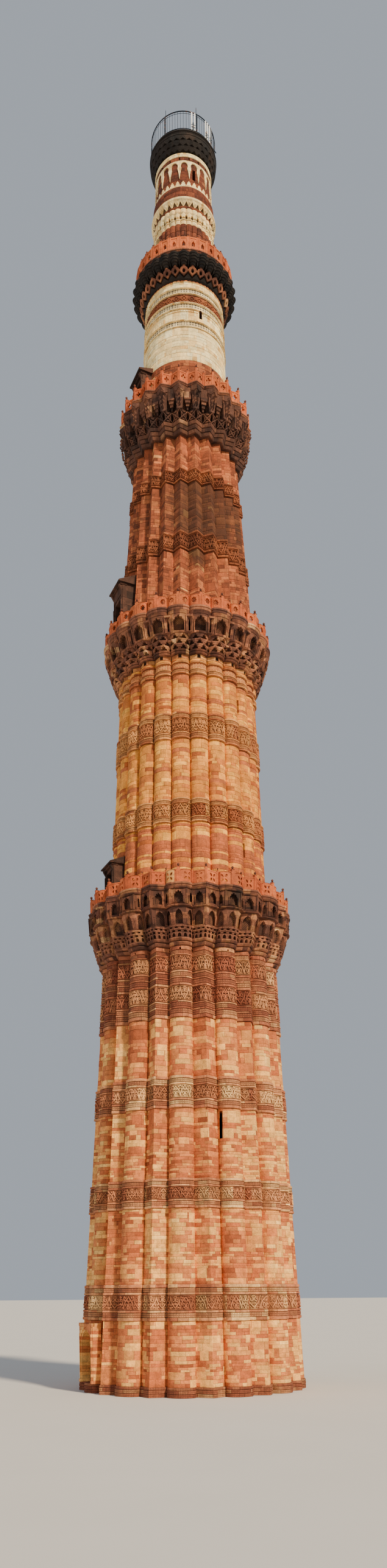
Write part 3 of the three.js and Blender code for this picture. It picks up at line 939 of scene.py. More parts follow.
def tier(trim, skin, low, cells, openings=(), clear=2.4):
    """Lays a row of templates round a skin. For each kind of bay, cells lists (start, end, template), and
    a template's x is measured from the middle of its cell. Cells in front of an opening are left out."""
    outline = skin.outline
    for bay in range(outline.count):
        kind = bay % len(cells)
        length = outline.length(bay) * skin.radius(low)
        for start, end, template in cells[kind]:
            middle = (start + end) / 2
            azimuth = outline.first + (bay + middle - 0.5) * outline.pitch
            if any(abs((azimuth - opening + 180) % 360 - 180) < clear for opening in openings):
                continue

            def place(x, y, lift):
                return skin.at(bay, middle + x / length, low + y, lift)

            lay(trim, template, place)


def ring_cells(skin, low, kinds, make):
    """Cells of each kind of bay, side by side, with make(width) giving the template of each."""
    cells = []
    for kind, shares in enumerate(kinds):
        length = skin.outline.length(kind) * skin.radius(low)
        row = []
        start = 0.0
        for share in shares:
            row.append((start, start + share, make(share * length)))
            start += share
        cells.append(row)
    return cells


def netted(size):
    """A raised net with small diamonds between its bars."""
    def pattern(u, v):
        rising = abs((u / size + v * 3.0).fraction() - 0.5)
        falling = abs((u / size - v * 3.0).fraction() - 0.5)
        return rising.maths("MAXIMUM", rising, falling) > 0.35
    return pattern


CORBEL_BLOCKS = [
    (0.0, (0.14, 0.056, 0.038)), (0.25, (0.24, 0.092, 0.055)), (0.5, (0.36, 0.14, 0.074)),
    (0.72, (0.5, 0.22, 0.1)), (0.88, (0.68, 0.38, 0.18)),
]
# Near black: the soot on the stone, and the painted shade in the sunk ground of the carved pieces.
SOOT_AND_SHADE = (0.022, 0.015, 0.012)
# Painted shade: the sunk backs of the cells and niches are painted near black, lighter on the nets.
corbel_finish_1 = masonry("corbel_1_finish", CORBEL_BLOCKS, SOOT_AND_SHADE, block=0.22, stains=0.65,
                          carved=(-0.06, -0.012), backs=netted(0.055))


def hanging_stone(width, height, steps=3, depth=0.1):
    """A stone that steps in and back towards its foot."""
    bm = new_trim()
    for k in range(steps):
        share = (k + 1) / steps
        centre = (0, height * (k + 0.5) / steps, 0.035 * share - depth / 2)
        add_box(bm, (width * share, height / steps * 0.92, depth), centre)
    return as_template(bm)


def evenly(count, template, shift=0.5):
    """Cells at even steps across a bay."""
    return [((k + shift) / count, (k + shift) / count, template) for k in range(count)]


NICHES_1 = 13.42
ARCADE_1 = 13.89
SLAB_1 = 14.415
FLOOR_1 = 14.54
corbel_1 = Skin(mixed_outline, [(STOREY_1_TOP, 2.7), (13.11, 2.8), (NICHES_1, 2.89), (ARCADE_1, 3.03)],
                0.08)
steps = [
    (STOREY_1_TOP, -0.02), (12.94, 0.02), (12.99, 0.035), (13.01, 0.01), (13.02, -0.03), (13.035, -0.03),
    (13.045, 0.03), (13.085, 0.045), (13.105, 0.02), (13.11, -0.05), (13.245, -0.08), (13.415, -0.08),
    (NICHES_1, -0.085), (13.885, -0.1), (ARCADE_1, 0.0),
]
trim = new_trim()


def small_cell(width):
    return plate(width * 0.985, 0.135, [moved(pointed(width * 0.6, 0.1, 0.04), 0, 0.014)], 0.07, 0.012)


cell_shares = [1 / 12] + [1 / 6] * 5 + [1 / 12]
tier(trim, corbel_1, 13.11, ring_cells(corbel_1, 13.11, [cell_shares, cell_shares], small_cell))
for row, (low, height) in enumerate([(13.25, 0.085), (13.335, 0.085)]):
    tips = []
    for kind in (0, 1):
        width = mixed_outline.length(kind) * corbel_1.radius(low) / 6
        tips.append(evenly(6, hanging_stone(width * 0.94, height, 2, 0.08), 0.0 if row else 0.5))
    tier(trim, corbel_1, low, tips)


def tall_niche(width):
    return plate(width * 0.99, 0.46, [moved(pointed(width * 0.6, 0.375, 0.2), 0, 0.03)], 0.11, 0.02)


def at_edges(cells, template):
    """One template at the left edge of each cell."""
    return [[(start, start, template) for start, _, _ in row] for row in cells]


niche_shares = [[1 / 3] * 3, [0.5, 0.5]]
niches = ring_cells(corbel_1, NICHES_1, niche_shares, tall_niche)
tier(trim, corbel_1, NICHES_1, niches)
niche_shafts = ring_cells(corbel_1, NICHES_1, niche_shares, lambda width: shafts(width * 0.6, 0.21))
tier(trim, corbel_1, 13.45, niche_shafts)
tier(trim, corbel_1, NICHES_1, at_edges(niches, block(0, -0.035, 0.11, 0.09, 0.11, 0.05, foot=0.45)))
stone_ring("balcony_1_corbel_cells", corbel_1, steps,
           [STOREY_1_TOP, 13.02, 13.11, 13.265, NICHES_1, 13.58, 13.74, ARCADE_1], STOREY_1_BORE,
           corbel_finish_1, "weathered_stone", 900, "balcony_1_corbel", trim=trim)

ARCADE_BLOCKS = [
    (0.0, (0.1, 0.037, 0.025)), (0.25, (0.17, 0.061, 0.037)), (0.5, (0.26, 0.095, 0.05)),
    (0.72, (0.37, 0.155, 0.07)), (0.88, (0.54, 0.29, 0.13)),
]
# Painted shade: the sunk ground behind the arches is painted near black, lighter on the nets.
arcade_finish_1 = masonry("arcade_1_finish", ARCADE_BLOCKS, SOOT_AND_SHADE, block=0.22, stains=0.95,
                          carved=(-0.06, 0.0), backs=netted(0.055))
arcade_1 = Skin(mixed_outline, [(ARCADE_1, 3.05), (SLAB_1, 3.08)], 0.06)
ARCHES_1 = 13.95
WIDE_ARCH = 0.4
steps = [
    (ARCADE_1, 0.0), (13.9, 0.045), (13.93, 0.05), (13.945, 0.0), (ARCHES_1, -0.1), (14.355, -0.1),
    (14.36, 0.0), (14.375, 0.03), (14.405, 0.04), (SLAB_1, 0.02),
]


def arch_gap(width):
    return width * (0.5 if width > WIDE_ARCH else 0.42)


def arcade_cell(width):
    wide = width > WIDE_ARCH
    shape = cusped(arch_gap(width), 0.325 if wide else 0.27, 0.17 if wide else 0.14)
    return plate(width * 0.99, 0.405, [moved(shape, 0, 0.04 if wide else 0.06)], 0.11, 0.012)


trim = new_trim()
arches = [[0.27, 0.46, 0.27], [0.5, 0.5]]
tier(trim, arcade_1, ARCHES_1, ring_cells(arcade_1, ARCHES_1, arches, arcade_cell))
arch_shafts = ring_cells(arcade_1, ARCHES_1, arches, lambda width: shafts(arch_gap(width), 0.17))
tier(trim, arcade_1, 13.99, arch_shafts)
edge_pilaster = block(0, 0, 0.06, 0.405, 0.12, 0.03)
slim_pilaster = block(0, 0, 0.045, 0.405, 0.1, 0.035)
broad_pilaster = block(0, -0.03, 0.07, 0.44, 0.12, 0.045)
pilasters = [
    [(0.0, 0.0, edge_pilaster), (0.27, 0.27, slim_pilaster), (0.73, 0.73, slim_pilaster)],
    [(0.0, 0.0, edge_pilaster), (0.5, 0.5, broad_pilaster)],
]
tier(trim, arcade_1, ARCHES_1, pilasters)
stone_ring("balcony_1_arcade_arches", arcade_1, steps, [ARCADE_1, ARCHES_1, 14.09, 14.22, 14.36, SLAB_1],
           STOREY_1_BORE, arcade_finish_1, "weathered_stone", 930, "balcony_1_arcade", trim=trim)

slab_finish_1 = masonry("slab_1_finish", CORBEL_BLOCKS, SOOT_AND_SHADE, block=0.5, stains=0.5)


def floor_slab(name, outline, low, high, radius, depth, finish, node):
    """A floor of long stones with a rounded nosing."""
    skin = Skin(outline, [(low, radius), (high, radius)], depth)
    steps = [
        (low, -0.08), (low + 0.012, -0.03), (low + (high - low) * 0.45, -0.012),
        (low + (high - low) * 0.5, -0.03), (low + (high - low) * 0.6, 0.0), (high - 0.012, 0.0),
        (high, -0.012),
    ]
    stone_ring(name, skin, steps, [low, high], SOLID_BORE, finish, "weathered_stone", int(low * 40), node)


floor_slab("balcony_1_floor", mixed_outline, SLAB_1, FLOOR_1, 3.1, 0.06, slab_finish_1, "balcony_1_slab")


# Balcony 1, parapet: fresh pink-red sandstone panels, each pierced by four petals set in a cross, held
# between square posts that carry a ball on a short neck.
def petal(x, y, turn, length, breadth):
    shape = [(0, -0.5), (0.38, -0.25), (0.5, 0.05), (0.34, 0.32), (0, 0.5), (-0.34, 0.32), (-0.5, 0.05),
             (-0.38, -0.25)]
    cos = math.cos(turn)
    sin = math.sin(turn)
    return [
        (x + px * breadth * cos - py * length * sin, y + px * breadth * sin + py * length * cos)
        for px, py in shape
    ]


def framed(width, height, holes, depth, border=0.03):
    """A pierced panel with a raised border, in two templates."""
    edge = fine_edge(width, height)
    inner_x = width / 2 - border
    inner = [(-inner_x, border), (inner_x, border), (inner_x, height - border), (-inner_x, height - border)]
    return [plate(width, height, holes, depth, 0.0, edge), plate(width, height, [inner], 0.02, 0.012, edge)]


POST_SETBACK = -0.035


def finial_post(width, height, ball):
    """A square post with a cap, a short neck and a ball."""
    bm = new_trim()
    top = height - 2 * ball - 0.03
    cap = top + 0.012
    for low, high, size in ((0, top, width), (top, cap, width * 1.16), (cap, top + 0.04, width * 0.36)):
        add_box(bm, (size, high - low, size), (0, (low + high) / 2, POST_SETBACK))
    verts = bmesh.ops.create_uvsphere(bm, u_segments=8, v_segments=6, radius=ball)["verts"]
    bmesh.ops.rotate(bm, verts=verts, matrix=Matrix.Rotation(math.pi / 2, 3, "X"))
    bmesh.ops.translate(bm, verts=verts, vec=(0, height - ball, POST_SETBACK))
    return as_template(bm)


PARAPET_BLOCKS = [
    (0.0, (0.47, 0.101, 0.034)), (0.3, (0.56, 0.133, 0.046)), (0.62, (0.62, 0.161, 0.054)),
    (0.92, (0.8, 0.405, 0.136)),
]
parapet_finish = masonry("parapet_finish", PARAPET_BLOCKS, (0.2, 0.07, 0.04), block=0.42, joint=0.0,
                         stains=0.3, bias=0.1, crest=(0.13, 0.045, 0.028))


def parapet(name, outline, radius, depth, floor, height, crown, panels, posts, holes, node, row):
    """Panels and posts along a slab's edge. Panels and posts list shares for each kind of bay, and crown is
    the height where the balls start."""
    skin = Skin(outline, [(floor, radius), (floor + 1, radius)], depth)
    trim = new_trim()
    for kind, spans in enumerate(panels):
        length = outline.length(kind) * radius
        for start, end in spans:
            width = (end - start) * length - 0.05
            for template in framed(width, height, holes(width, height), 0.06):
                cells = [[] for _ in panels]
                cells[kind].append((start, end, template))
                tier(trim, skin, floor, cells)
    tier(trim, skin, floor, posts)
    bm = bmesh.new()
    join(bm, trim)
    lay_courses(bm, skin, [floor, floor + crown, floor + 0.6], row)
    set_stone(name, bm, [parapet_finish], "parapet_stone", node)


def cross_petals(width, height):
    reach = height * 0.2
    petals = []
    for dx in (-1, 1):
        for dy in (-1, 1):
            middle = (dx * reach * 0.86, height * 0.5 + dy * reach * 0.86)
            petals.append(petal(*middle, math.atan2(-dx, dy), height * 0.33, height * 0.19))
    return petals


tall_post = finial_post(0.085, 0.53, 0.038)
short_post = finial_post(0.07, 0.5, 0.033)
post_row = [(0.0, 0.0, short_post), (0.5, 0.5, tall_post)]
halves = [(0.0, 0.5), (0.5, 1.0)]
parapet("balcony_1_panels", mixed_outline, 3.04, 0.06, FLOOR_1, 0.36, 0.43, [halves, halves],
        [post_row, post_row], cross_petals, "balcony_1_parapet", 960)


# Doorways: stone frames with a stepped opening, set on the wall over each door. On the balconies a sloping
# hood sheds the rain over the door, with a block below each of its ends, and the frames are painted near
# black: their own dark stone, and painted shade for the shadow they stand in.
def standing(azimuth, radius, z):
    """Places (x, y, lift) on an upright plane that faces out from the tower."""
    turn = math.radians(azimuth)
    out = Vector((math.sin(turn), -math.cos(turn), 0))
    along = Vector((math.cos(turn), math.sin(turn), 0))
    foot = out * radius + Vector((0, 0, z))
    return lambda x, y, lift: foot + along * x + Vector((0, 0, y)) + out * lift


def sloped_hood(width, back, front, height, lip, top):
    """A hood in local axes: from its back at the wall down to a thin lip at the front."""
    bm = new_trim()
    for vert in bmesh.ops.create_cube(bm, size=1)["verts"]:
        ahead = vert.co.z > 0
        above = vert.co.y > 0
        y = (height + lip if ahead else top) if above else height
        vert.co = (vert.co.x * width, y, front if ahead else back)
    return as_template(bm)


def door_frame(name, skin, front, seat, sill, opening, outside, hood, finish, node, row):
    """A frame of (width, height) round an opening of (width, height, rise), and a hood of (width, top)."""
    width, height = outside
    gap, head, rise = opening
    half = width / 2
    hole = [(-gap / 2, 0), (-gap / 2, head), (gap / 2, head), (gap / 2, 0)]
    if rise:
        hole = pointed(gap, head, head - rise)
    edge = [(-half, 0)] + hole + [(half, 0), (half, height), (-half, height)]
    parts = [plate(width, height, [], front - seat, 0.0, edge)]
    rim = 0.09
    inset = half - 0.03
    wide = [(x * (gap + rim) / gap, y * (head + rim) / head) for x, y in hole]
    edge = [(-inset, 0)] + wide + [(inset, 0), (inset, height), (-inset, height)]
    parts.append(plate(width, height, [], 0.05, 0.025, edge))
    for side in (-1, 1):
        parts.append(block(side * (gap / 2 + rim * 0.75), 0, 0.05, head * 0.92, 0.06, 0.045))
        parts.append(block(side * (half - 0.07), 0, 0.12, 0.09, 0.08, 0.055))
    if hood:
        hood_width, hood_top = hood
        parts.append(sloped_hood(hood_width, seat - front, 0.13, height, 0.035, hood_top))
        parts.append(block(0, height - 0.05, width + 0.03, 0.05, 0.2, 0.06))
        for side in (-1, 1):
            parts.append(block(side * (half - 0.05), height - 0.19, 0.08, 0.14, 0.16, 0.1, foot=0.5))
    else:
        parts.append(block(0, height - 0.1, width, 0.1, 0.1, 0.03))
    trim = new_trim()
    for template in parts:
        lay(trim, template, standing(DOOR_AZIMUTH, front, sill))
    bm = bmesh.new()
    join(bm, trim)
    lay_courses(bm, skin, [sill + 0.2 * k for k in range(10)], row)
    set_stone(name, bm, [finish], "carved_stone", node)


# Near black: the frames' own dark stone, darkened further as painted shade for the shadow they stand in.
SHADED_DOOR_BLOCKS = [(0.0, (0.05, 0.025, 0.018)), (0.4, (0.1, 0.045, 0.03)), (0.8, (0.19, 0.085, 0.05))]
shaded_door_finish = masonry("shaded_door_finish", SHADED_DOOR_BLOCKS, SOOT_AND_SHADE, block=0.3, stains=0.6)
door_frame("entrance_surround", storey_1, 3.54, 3.27, PLINTH_TOP, ENTRANCE, (1.2, 1.82), None, mixed_stone,
           "entrance_frame", 980)


# Storey 2, walls and bands: 24 round flutes of buff sandstone, with courses of red here and there. Two
# carved bands tie it, and below the balcony runs a frieze of red and cream diamonds under blocks.
round_outline = Outline([round_flute(10)], 24, FIRST_CROWN, 0.08)
STOREY_2_TOP = 21.23
storey_2 = Skin(round_outline, [(FLOOR_1, 2.405), (STOREY_2_TOP, 2.035)])
STOREY_2_BORE = 1.4
BLOCKS_2 = [
    (0.0, (0.44, 0.109, 0.025)), (0.13, (0.6, 0.184, 0.037)), (0.3, (0.74, 0.272, 0.046)),
    (0.52, (0.86, 0.349, 0.06)), (0.82, (0.96, 0.446, 0.078)),
]
buff_stone = masonry("buff_stone_finish", BLOCKS_2, (0.13, 0.06, 0.03), course=(0.2, (0.5, 0.14, 0.045)),
                     block=0.28, stains=0.35, bias=0.15, rows=2)
low_stone = masonry("low_buff_stone_finish", BLOCKS_2, (0.13, 0.06, 0.03),
                    course=(0.68, (0.5, 0.13, 0.045)), block=0.28, stains=0.4, bias=0.2, rows=2)


def slit_pair(azimuth, sill, height, near, far):
    """Slit windows on opposite sides."""
    sides = (azimuth, azimuth - 180)
    return [doorway_cutter(side, SLIT_WIDTH, height, 0, sill, near, far) for side in sides]


BALCONY_DOOR = (0.46, 1.03, 0)
door_2 = doorway_cutter(DOOR_AZIMUTH, *BALCONY_DOOR, FLOOR_1, 0.8, 2.9)
storey_2_walls = [
    ("storey_2_wall_1", FLOOR_1, 16.515, low_stone, [door_2] + slit_pair(47, 15.8, 0.41, 1.1, 2.7)),
    ("storey_2_wall_2", 17.185, 18.88, buff_stone, []),
    ("storey_2_wall_3", 19.62, 20.7, buff_stone, slit_pair(47, 19.96, 0.38, 1.1, 2.7)),
]
for number, (name, low, high, finish, cutters) in enumerate(storey_2_walls):
    wall_ring(name + "_blocks", storey_2, low, high, COURSE_HEIGHT, 20 + number, STOREY_2_BORE, finish,
              "buff_stone", 1000 + 100 * number, cutters, name)
door_frame("balcony_1_doorway", storey_2, 2.59, 2.13, FLOOR_1, BALCONY_DOOR, (0.7, 1.18), (0.82, 1.45),
           shaded_door_finish, "balcony_1_door_frame", 1290)

BUFF_BAND_BLOCKS = [
    (0.0, (0.38, 0.11, 0.04)), (0.2, (0.48, 0.17, 0.06)), (0.38, (0.6, 0.25, 0.08)),
    (0.62, (0.68, 0.31, 0.1)),
]


def diamond_row(size):
    """Cream diamonds with red ones inside them, edge to edge, on a red ground."""
    def pattern(u, v):
        across = abs((u / size).fraction() - 0.5) + abs(v.fraction() - 0.5)
        return (across < 0.47) - (across < 0.3) + (across < 0.13)
    return pattern


buff_band = carved_finishes("buff_band", BUFF_BAND_BLOCKS, (0.11, 0.038, 0.018), 0.045, 0.35, (0.0, 0.022))
buff_band.update({
    "diamonds": masonry("frieze_diamond_finish", [(0.0, (0.66, 0.31, 0.1)), (0.5, (0.76, 0.4, 0.14))],
                        (0.4, 0.1, 0.04), block=0.6, stains=0.15, pattern=diamond_row(0.085)),
    "block": buff_stone,
    # The gaps between the blocks of this row are painted near black, as their shade.
    "gap": masonry("frieze_block_finish", BUFF_BAND_BLOCKS, SOOT_AND_SHADE, block=0.2, stains=0.3,
                   carved=(0.01, 0.045)),
})
BAND_2 = [
    (0.06, "roll"), (0.07, "frieze"), (0.04, "roll"), (0.38, "strip"), (0.04, "roll"), (0.07, "frieze"),
    (0.06, "roll"),
]
storey_2_bands = [("storey_2_band_1", 16.515, 17.185), ("storey_2_band_2", 18.88, 19.62)]
for number, (name, low, high) in enumerate(storey_2_bands):
    band_piece(name, storey_2, low, fitted(low, high, BAND_2), STOREY_2_BORE, buff_band, 1300 + 40 * number,
               [3])

FRIEZE_2 = fitted(20.7, STOREY_2_TOP, [
    (0.05, "roll"), (0.06, "frieze"), (0.04, "roll"), (0.15, "diamonds"), (0.04, "roll"), (0.06, "block"),
    (0.01, "roll"), (0.11, "gap"),
])
gap_height = FRIEZE_2[-1][0]
row_foot = STOREY_2_TOP - gap_height + 0.005
brick = block(0, 0, round_outline.length(0) * storey_2.radius(row_foot) * 0.36, gap_height - 0.01, 0.1,
              0.05)
trim = new_trim()
tier(trim, storey_2, row_foot, [[(0.0, 0.5, brick), (0.5, 1.0, brick)]])
band_piece("storey_2_frieze", storey_2, 20.7, FRIEZE_2, STOREY_2_BORE, buff_band, 1400, [1], trim=trim)


# Balcony 2, corbel and arcade: two dark mouldings, three rows of small hanging stones whose stepped tips
# catch the light, and a row of deep lobed niches, wide on the flutes and narrow between them.
# Painted shade: the sunk backs of the niches are painted near black, lighter on the nets.
corbel_finish_2 = masonry("corbel_2_finish", CORBEL_BLOCKS, SOOT_AND_SHADE, block=0.2, stains=0.8,
                          carved=(-0.07, 0.01), backs=netted(0.05))
ARCADE_2 = 21.675
SLAB_2 = 22.19
FLOOR_2 = 22.32
corbel_2 = Skin(round_outline, [(STOREY_2_TOP, 2.11), (21.4, 2.21), (ARCADE_2, 2.29)], 0.07)
steps = [
    (STOREY_2_TOP, -0.02), (21.235, 0.02), (21.265, 0.03), (21.27, -0.02), (21.28, -0.02), (21.285, 0.025),
    (21.315, 0.035), (21.32, -0.06), (21.67, -0.08), (ARCADE_2, -0.02),
]
trim = new_trim()
for row, (low, height) in enumerate([(21.322, 0.115), (21.437, 0.118), (21.555, 0.118)]):
    stone = hanging_stone(round_outline.length(0) * corbel_2.radius(low) / 3 * 0.94, height)
    tier(trim, corbel_2, low, [evenly(3, stone, 0.0 if row % 2 else 0.5)])
stone_ring("balcony_2_corbel_stones", corbel_2, steps, [STOREY_2_TOP, 21.32, 21.437, 21.555, ARCADE_2],
           STOREY_2_BORE, corbel_finish_2, "weathered_stone", 1500, "balcony_2_corbel", trim=trim)

arcade_2 = Skin(round_outline, [(ARCADE_2, 2.32), (SLAB_2, 2.5)], 0.06)
steps = [
    (ARCADE_2, -0.02), (21.68, 0.01), (21.7, 0.02), (21.705, -0.15), (22.1, -0.15), (22.105, -0.03),
    (22.115, 0.0), (22.15, 0.015), (22.155, -0.01), (SLAB_2, 0.0),
]
bay_width = round_outline.length(0) * arcade_2.radius(21.7)
wide_width = bay_width * 0.6
narrow_width = bay_width * 0.4
wide_hole = moved(cusped(wide_width * 0.66, 0.335, 0.2), 0, 0.03)
narrow_hole = moved(pointed(narrow_width * 0.5, 0.3, 0.16), 0, 0.03)
wide_edge = fine_edge(wide_width * 0.99, 0.395, 6)
niches = [
    (0.2, 0.8, plate(wide_width * 0.99, 0.395, [wide_hole], 0.13, 0.0, wide_edge)),
    (-0.2, 0.2, plate(narrow_width * 0.97, 0.395, [narrow_hole], 0.13, 0.025)),
    (0.2, 0.8, block(0, -0.03, wide_width * 0.8, 0.045, 0.12, 0.035)),
    (-0.2, 0.2, block(0, -0.13, narrow_width * 0.75, 0.14, 0.12, 0.03, foot=0.3)),
    (-0.2, 0.2, block(0, 0.34, narrow_width * 0.98, 0.04, 0.1, 0.04)),
]
niches += [(share, share, block(0, -0.01, 0.035, 0.4, 0.12, 0.03)) for share in (0.2, 0.8)]
niches.append((0.2, 0.8, shafts(wide_width * 0.66, 0.22)))
trim = new_trim()
tier(trim, arcade_2, 21.705, [niches])
stone_ring("balcony_2_niches", arcade_2, steps, [ARCADE_2, 21.8, 21.93, 22.06, SLAB_2], STOREY_2_BORE,
           corbel_finish_2, "weathered_stone", 1530, "balcony_2_arcade", trim=trim)

floor_slab("balcony_2_floor", round_outline, SLAB_2, FLOOR_2, 2.525, 0.05, slab_finish_1, "balcony_2_slab")


# Balcony 2, parapet: pink-red sandstone panels with one round eight-lobed hole each. Tall posts with a ball
# stand at the crown of each flute and hold them, and lower ones stand in the valleys.
def lobed(radius, middle, lobes, least=0.72):
    """A round hole with small lobes round its edge."""
    count = lobes * 6
    points = []
    for k in range(count):
        turn = 2 * math.pi * k / count
        reach = radius * (least + (1 - least) * abs(math.cos(lobes * turn / 2)))
        points.append((reach * math.sin(turn), middle + reach * math.cos(turn)))
    return points


def round_hole(width, height):
    return [lobed(min(width, height) * 0.27, height * 0.52, 8)]


posts = [(0.0, 0.0, finial_post(0.065, 0.42, 0.028)), (0.5, 0.5, finial_post(0.08, 0.47, 0.035))]
parapet("balcony_2_panels", round_outline, 2.47, 0.05, FLOOR_2, 0.3, 0.366, [halves], [posts], round_hole,
        "balcony_2_parapet", 1560)


# Storey 3, walls and bands: 24 angular flutes, like a star in plan, of deep red sandstone that has gone
# grey and brown in streaks, with a few buff blocks. Two carved bands go round it.
star_outline = Outline([WEDGE], 24, -5, 0.1)
STOREY_3_TOP = 27.55
storey_3 = Skin(star_outline, [(FLOOR_2, 2.035), (STOREY_3_TOP, 1.55)])
STOREY_3_BORE = 1.0
BLOCKS_3 = [
    (0.0, (0.22, 0.058, 0.025)), (0.22, (0.341, 0.087, 0.035)), (0.46, (0.44, 0.121, 0.047)),
    (0.72, (0.539, 0.17, 0.063)), (0.92, (0.726, 0.336, 0.117)),
]
red_stone = masonry("red_stone_finish", BLOCKS_3, (0.06, 0.028, 0.016), block=0.26, joint=0.35, stains=0.5,
                    bias=0.15, rows=2, patch=(0.32, 24.2, 0.25, 0.5))
stained_stone = masonry("stained_red_finish", BLOCKS_3, (0.05, 0.025, 0.015), block=0.26, joint=0.35,
                        stains=0.7, bias=0.15, rows=2, patch=(0.6, 25.5, 1.3, 1.8))
storey_3_walls = [
    (FLOOR_2, 24.26, red_stone, [doorway_cutter(DOOR_AZIMUTH, *BALCONY_DOOR, FLOOR_2, 0.7, 2.6)],
     ["storey_3_door_wall", "storey_3_wall_1"]),
    (24.77, 26.225, stained_stone, [], ["storey_3_wall_2"]),
    (26.585, STOREY_3_TOP, red_stone, [], ["storey_3_wall_3"]),
]
for number, (low, high, finish, cutters, nodes) in enumerate(storey_3_walls):
    wall_ring(nodes[-1] + "_blocks", storey_3, low, high, 0.17, 30 + number, STOREY_3_BORE, finish,
              "red_stone", 1600 + 100 * number, cutters, *nodes)
door_frame("balcony_2_doorway", storey_3, 2.21, 1.75, FLOOR_2, BALCONY_DOOR, (0.7, 1.4), (0.82, 1.7),
           shaded_door_finish, "balcony_2_door_frame", 1890)

RED_BAND_BLOCKS = [(0.0, (0.24, 0.07, 0.03)), (0.35, (0.31, 0.095, 0.038)), (0.75, (0.38, 0.125, 0.048))]
red_band = carved_finishes("red_band", RED_BAND_BLOCKS, (0.05, 0.02, 0.012), 0.05, 0.5, (0.0, 0.026))
BAND_3 = [(0.05, "roll"), (0.02, "block"), (0.36, "strip"), (0.02, "block"), (0.06, "roll")]
storey_3_bands = [("storey_3_band_1", 24.26, 24.77), ("storey_3_band_2", 26.225, 26.585)]
for number, (name, low, high) in enumerate(storey_3_bands):
    band_piece(name, storey_3, low, fitted(low, high, BAND_3), STOREY_3_BORE, red_band, 1900 + 40 * number,
               [3])


# Balcony 3, corbel and brackets: three mouldings that zigzag round the star, a row of crossed struts over
# a recess painted dark as its shade, and big carved brackets that hang from the points, with stepped stones
# in the valleys.
def crossed_struts(width, height):
    bm = new_trim()
    half = width / 2
    for side in (-1, 1):
        ribbon(bm, [(-half * side, 0), (0, height / 2), (half * side, height)], 0.032, 0.02, -0.05)
        leaf(bm, side * half * 0.55, height / 2, 0.0, height * 0.5, 0.03, 0.02, -0.03)
    for y in (0.14, 0.86):
        leaf(bm, 0, height * y, math.pi / 2, width * 0.4, 0.03, 0.02, -0.03)
    return as_template(bm)


def hanging_bracket(width, height):
    """A bracket that widens upwards over a point of the star, with rows of carved leaves."""
    outline_right = [(0.46, 0.0), (0.58, 0.06), (0.52, 0.1), (0.7, 0.42), (0.78, 0.7), (1.0, 0.8),
                     (1.0, 1.0)]
    right = [(x * width / 2, y * height) for x, y in outline_right]
    edge = [(0, -0.03)] + right + [(0, height)] + [(-x, y) for x, y in reversed(right)]
    parts = [plate(width, height, [], 0.16, 0.035, edge)]
    bm = new_trim()
    for row, y in enumerate((0.2, 0.38, 0.57)):
        for side in (-1, 1):
            x = side * width * (0.1 + 0.035 * row)
            leaf(bm, x, height * y, 0, height * 0.15, width * 0.12, 0.065, 0.02)
    for side in (-1, 1):
        sagging = [(0, 0.83), (0.25, 0.77), (0.5, 0.83)]
        ribbon(bm, [(side * width * x, height * y) for x, y in sagging], 0.025, 0.06, 0.02)
    parts.append(as_template(bm))
    return parts


# The sooty red-brown of the brackets, also used as the painted shade inside the slits of storey 4.
SOOTY_AND_SHADE_BLOCKS = [
    (0.0, (0.08, 0.039, 0.03)), (0.3, (0.145, 0.063, 0.042)), (0.6, (0.23, 0.096, 0.056)),
    (0.88, (0.4, 0.2, 0.105)),
]
# Painted shade: the recess behind the struts and the ground behind the brackets are painted near black.
corbel_finish_3 = masonry("corbel_3_finish", SOOTY_AND_SHADE_BLOCKS, SOOT_AND_SHADE, block=0.2, stains=0.6,
                          carved=(-0.09, 0.03), backs=netted(0.06))
BRACKETS_3 = 28.02
SLAB_3 = 28.615
FLOOR_3 = 28.695
corbel_3 = Skin(star_outline, [(STOREY_3_TOP, 1.64), (BRACKETS_3, 1.85)], 0.08)
steps = [
    (STOREY_3_TOP, -0.04), (27.555, 0.0), (27.62, 0.01), (27.625, -0.03), (27.64, -0.03), (27.645, 0.01),
    (27.71, 0.02), (27.715, -0.02), (27.73, -0.02), (27.735, 0.02), (27.8, 0.03), (27.805, -0.14),
    (28.01, -0.16), (BRACKETS_3, -0.02),
]
trim = new_trim()
strut_width = star_outline.length(0) * corbel_3.radius(27.9) / 2
tier(trim, corbel_3, 27.81, [evenly(2, crossed_struts(strut_width, 0.21))])
stone_ring("balcony_3_corbel_stones", corbel_3, steps, [STOREY_3_TOP, 27.63, 27.72, 27.81, BRACKETS_3],
           STOREY_3_BORE, corbel_finish_3, "weathered_stone", 2000, "balcony_3_corbel", trim=trim)

brackets_3 = Skin(star_outline, [(BRACKETS_3, 1.83), (SLAB_3, 1.96)], 0.09)
steps = [
    (BRACKETS_3, -0.06), (28.03, -0.01), (28.05, 0.0), (28.055, -0.12), (28.56, -0.1), (28.565, 0.0),
    (28.6, 0.012), (SLAB_3, 0.0),
]
bay_width = star_outline.length(0) * brackets_3.radius(28.3)
bracket_cells = [(0.5, 0.5, template) for template in hanging_bracket(bay_width * 0.62, 0.53)]
trim = new_trim()
tier(trim, brackets_3, 28.05, [bracket_cells])
tier(trim, brackets_3, 28.36, [evenly(1, block(0, 0, bay_width * 0.44, 0.2, 0.14, 0.01), 0.0)])
tier(trim, brackets_3, 28.08, [evenly(1, hanging_stone(bay_width * 0.4, 0.28, 4, 0.14), 0.0)])
stone_ring("balcony_3_hanging_brackets", brackets_3, steps, [BRACKETS_3, 28.17, 28.32, 28.47, SLAB_3],
           STOREY_3_BORE, corbel_finish_3, "weathered_stone", 2030, "balcony_3_brackets", trim=trim)

floor_slab("balcony_3_floor", star_outline, SLAB_3, FLOOR_3, 1.975, 0.07, slab_finish_1, "balcony_3_slab")


